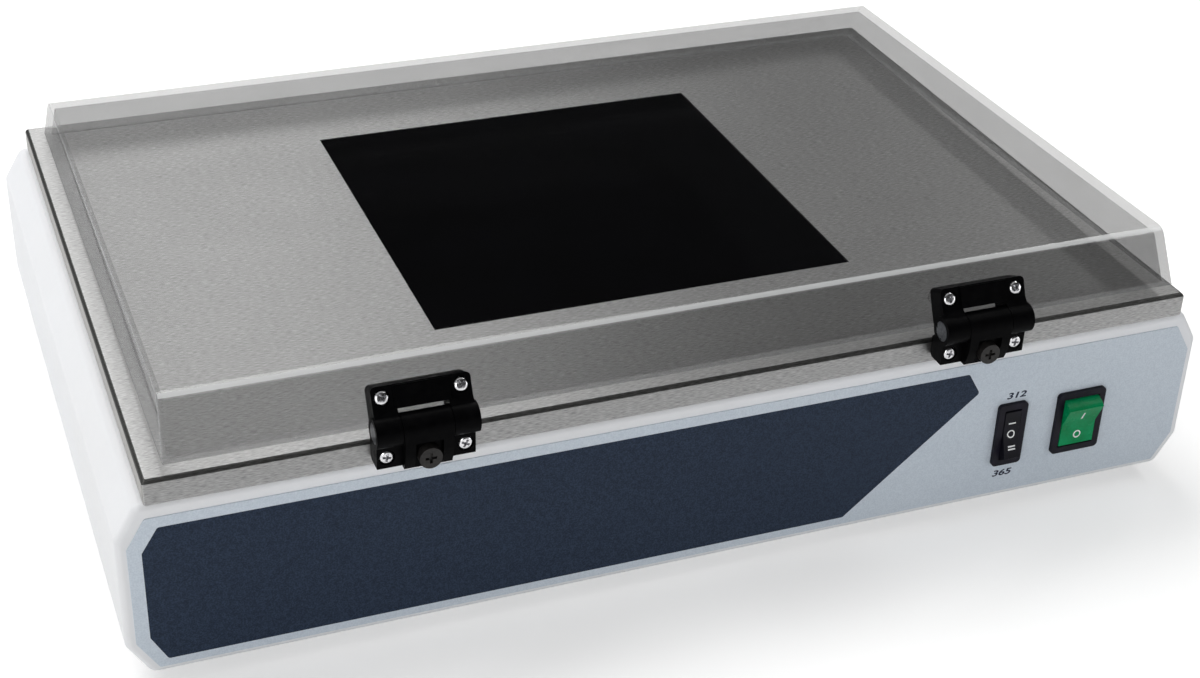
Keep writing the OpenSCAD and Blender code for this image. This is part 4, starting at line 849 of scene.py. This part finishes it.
def cross_screw(head, tall, shank, length, steps=32):
    """A screw whose head stands on z = 0, with a cross recess, and whose shank hangs below."""
    dome = ((0.001, 1), (0.22, 0.985), (0.34, 0.93), (0.43, 0.8), (0.48, 0.58), (0.5, 0.3), (0.5, 0.0))
    outline = [(r * head, z * tall) for r, z in dome]
    outline += [(shank / 2, 0.0), (shank / 2, 0.3 * shank - length), (0.32 * shank, -length)]
    turned_rings = [[(r * math.cos(2 * math.pi * k / steps), r * math.sin(2 * math.pi * k / steps), z)
                     for k in range(steps)] for r, z in outline]
    screw = build("screw", *loft(turned_rings), plated)
    for quarter in (0, 1):
        bits = []
        for z, half_long, half_wide in ((tall + 0.0002, 0.31 * head, 0.085 * head),
                                        (tall - 0.3 * head, 0.13 * head, 0.045 * head)):
            pts = [(a * half_long, b * half_wide) for a, b in ((-1, -1), (1, -1), (1, 1), (-1, 1))]
            bits.append([(-b, a, z) if quarter else (a, b, z) for a, b in pts])
        carve(screw, build("recess", *loft(bits)))
    screw.data.shade_smooth()
    screw.data.set_sharp_from_angle(angle=math.radians(32))
    return screw


def add_node(tree, kind, **values):
    made = tree.nodes.new(kind)
    for key, value in values.items():
        setattr(made, key, value)
    return made


setting = bpy.data.node_groups.new("set screws at their places", "GeometryNodeTree")
face = setting.interface
face.new_socket("Places", in_out="INPUT", socket_type="NodeSocketGeometry")
face.new_socket("Screw", in_out="INPUT", socket_type="NodeSocketObject")
face.new_socket("Turn Seed", in_out="INPUT", socket_type="NodeSocketInt")
face.new_socket("Finish", in_out="INPUT", socket_type="NodeSocketMaterial")
face.new_socket("Screws", in_out="OUTPUT", socket_type="NodeSocketGeometry")
given = add_node(setting, "NodeGroupInput")
screw_info = add_node(setting, "GeometryNodeObjectInfo", transform_space="ORIGINAL")
lie = add_node(setting, "GeometryNodeInputNamedAttribute", data_type="FLOAT_VECTOR")
lie.inputs["Name"].default_value = "out_way"
stand = add_node(setting, "FunctionNodeAlignRotationToVector", axis="Z")
angle = add_node(setting, "FunctionNodeRandomValue", data_type="FLOAT")
spin = add_node(setting, "FunctionNodeAxisAngleToRotation")
both_turns = add_node(setting, "FunctionNodeRotateRotation", rotation_space="LOCAL")
place = add_node(setting, "GeometryNodeInstanceOnPoints")
real = add_node(setting, "GeometryNodeRealizeInstances")
painted = add_node(setting, "GeometryNodeSetMaterial")
result = add_node(setting, "NodeGroupOutput")
angle_low, angle_high = [i for i in angle.inputs if i.type == "VALUE" and i.name in ("Min", "Max")]
angle_low.default_value, angle_high.default_value = 0.0, math.pi / 2
spin.inputs["Axis"].default_value = (0, 0, 1)
join = setting.links.new
join(given.outputs["Screw"], screw_info.inputs["Object"])
join(next(o for o in lie.outputs if o.name == "Attribute" and o.enabled), stand.inputs["Vector"])
join(given.outputs["Turn Seed"], next(i for i in angle.inputs if i.name == "Seed"))
join(next(o for o in angle.outputs if o.type == "VALUE" and o.enabled), spin.inputs["Angle"])
join(stand.outputs[0], both_turns.inputs["Rotation"])
join(spin.outputs[0], both_turns.inputs["Rotate By"])
join(given.outputs["Places"], place.inputs["Points"])
join(screw_info.outputs["Geometry"], place.inputs["Instance"])
join(both_turns.outputs[0], place.inputs["Rotation"])
join(place.outputs[0], real.inputs[0])
join(real.outputs[0], painted.inputs["Geometry"])
join(given.outputs["Finish"], painted.inputs["Material"])
join(painted.outputs[0], result.inputs[0])


def set_screws(name, node, body, along, seed, short=0.0):
    """Screws for the places of a node's own: along is their axis, and the thick end is the head."""
    axis = Vector(along).normalized()
    u = axis.orthogonal().normalized()
    v = axis.cross(u)
    places, ways = [], []
    for part in lone_parts(node):
        across = [(p.dot(u), p.dot(v)) for p in part]
        mid = [(min(c) + max(c)) / 2 for c in zip(*across)]
        ends = [p.dot(axis) for p in part]
        radii = [math.hypot(a - mid[0], b - mid[1]) for a, b in across]
        head = 2 * max(radii)
        widest = [e for e, r in zip(ends, radii) if r > 0.49 * head]
        middle = (min(ends) + max(ends)) / 2
        up = 1 if sum(widest) / len(widest) > middle else -1
        seat = min(e * up for e in widest) * up
        tall = max(e * up for e in ends) - seat * up
        length = seat * up - min(e * up for e in ends)
        tail = [r for e, r in zip(ends, radii) if e * up < seat * up - length / 2]
        places.append(u * mid[0] + v * mid[1] + axis * seat)
        ways.append(axis * up)
    screw = cross_screw(head, tall, 2 * max(tail), length - short)
    mesh = bpy.data.meshes.new(name)
    mesh.from_pydata([tuple(p) for p in places], [], [])
    attribute = mesh.attributes.new("out_way", "FLOAT_VECTOR", "POINT")
    for i, way_out in enumerate(ways):
        attribute.data[i].vector = way_out
    screws = bpy.data.objects.new(name, mesh)
    scene.collection.objects.link(screws)
    make = screws.modifiers.new("screws", "NODES")
    make.node_group = setting
    sockets = {item.name: item.identifier for item in face.items_tree if item.in_out == "INPUT"}
    make[sockets["Screw"]], make[sockets["Turn Seed"]], make[sockets["Finish"]] = screw, seed, plated
    settle(screws)
    bpy.data.objects.remove(screw)
    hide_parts(node)
    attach(screws, body)


set_screws("hinge_screws_lower", "bracket_screws", "cabinet", (0, 1, 0), 3)
lean = front_lean + tilt
set_screws("hinge_screws_upper", "leaf_screws", "shield", (0, math.cos(lean), -math.sin(lean)), 8, 0.0035)
set_screws("rear_panel_screws", "rear_screws", "cabinet", (0, 1, 0), 5)
set_screws("base_plate_screws", "base_screws", "cabinet", (0, 0, 1), 6)
set_screws("feet_screws", "foot_screws", "cabinet", (0, 0, 1), 7)
set_screws("inlet_flange_screws", "inlet_screws", "cabinet", (0, 1, 0), 9)
refined("shield_nuts", "leaf_nuts", "shield", clear_nylon, 0.0002)


# ---- Pieces inside the cabinet ----
# Lamps, reflector, rails, ballasts and wiring keep the frame's own shapes and get their finishes.

def coat(mat, *names):
    for name in names:
        mesh = nodes[name].data
        if not mesh.materials:
            mesh.materials.append(mat)
        for i in range(len(mesh.materials)):
            mesh.materials[i] = mat


rolled = finish("bright rolled aluminium", linear(208, 210, 212), 0.25, 1.0)
tone(rolled, grain(rolled, (20, 500, 500), 2.0), linear(196, 198, 200), linear(218, 220, 222))
gloss(rolled, grain(rolled, (30, 700, 700), 2.0, (2, 0, 0)), 0.18, 0.34)
lamp_clear = finish("lamp glass, short wave", linear(232, 228, 240), 0.1, Transmission_Weight=0.5, IOR=1.47)
tone(lamp_clear, grain(lamp_clear, (60, 60, 60), 2.0), linear(222, 218, 234), linear(240, 236, 246))
lamp_dark = finish("lamp glass, long wave", linear(32, 26, 66), 0.1, IOR=1.5)
tone(lamp_dark, grain(lamp_dark, (60, 60, 60), 2.0), linear(26, 20, 56), linear(40, 32, 80))
enamel = finish("stove enamel", linear(226, 228, 230), 0.35)
tone(enamel, grain(enamel, (80, 80, 80), 2.0), linear(218, 220, 222), linear(232, 234, 236))
ceramic = finish("white moulding", linear(222, 220, 212), 0.45)
tone(ceramic, grain(ceramic, (200, 200, 200), 2.0), linear(214, 212, 203), linear(230, 228, 221))
flat_black = finish("matt black paint", linear(26, 26, 27), 0.7)
tone(flat_black, grain(flat_black, (400, 400, 400), 2.0), linear(20, 20, 21), linear(33, 33, 34))
sleeving = finish("woven sleeving", linear(44, 44, 47), 0.75)
tone(sleeving, grain(sleeving, (900, 900, 900), 2.0), linear(34, 34, 37), linear(58, 58, 61))
brass = finish("bare brass", linear(205, 178, 110), 0.28, 1.0)
tone(brass, grain(brass, (500, 500, 500), 2.0), linear(190, 162, 96), linear(216, 190, 122))
fuse_glass = finish("fuse glass", linear(226, 232, 228), 0.05, Transmission_Weight=0.8, IOR=1.5)
tone(fuse_glass, grain(fuse_glass, (300, 300, 300), 2.0), linear(216, 224, 220), linear(234, 238, 235))
coat(rolled, "reflector", "lamp_caps")
coat(lamp_clear, "lamps_312")
coat(lamp_dark, "lamps_365")
coat(enamel, "ballast_312", "ballast_365")
coat(ceramic, "lamp_holders", "terminal_block")
coat(flat_black, "filter_frame")
coat(rubber, "filter_gasket")
coat(sleeving, "wiring")
coat(zinc, "lamp_rails")
coat(brass, "earth_stud")
coat(fuse_glass, "fuses")
coat(tinned, "power_terminals", "selector_terminals", "inlet_pins")
coat(plated, "foot_nuts", "tray_nuts", "frame_nuts", "inlet_nuts", "bracket_nuts")
coat(plated, "rail_screws", "ballast_screws")
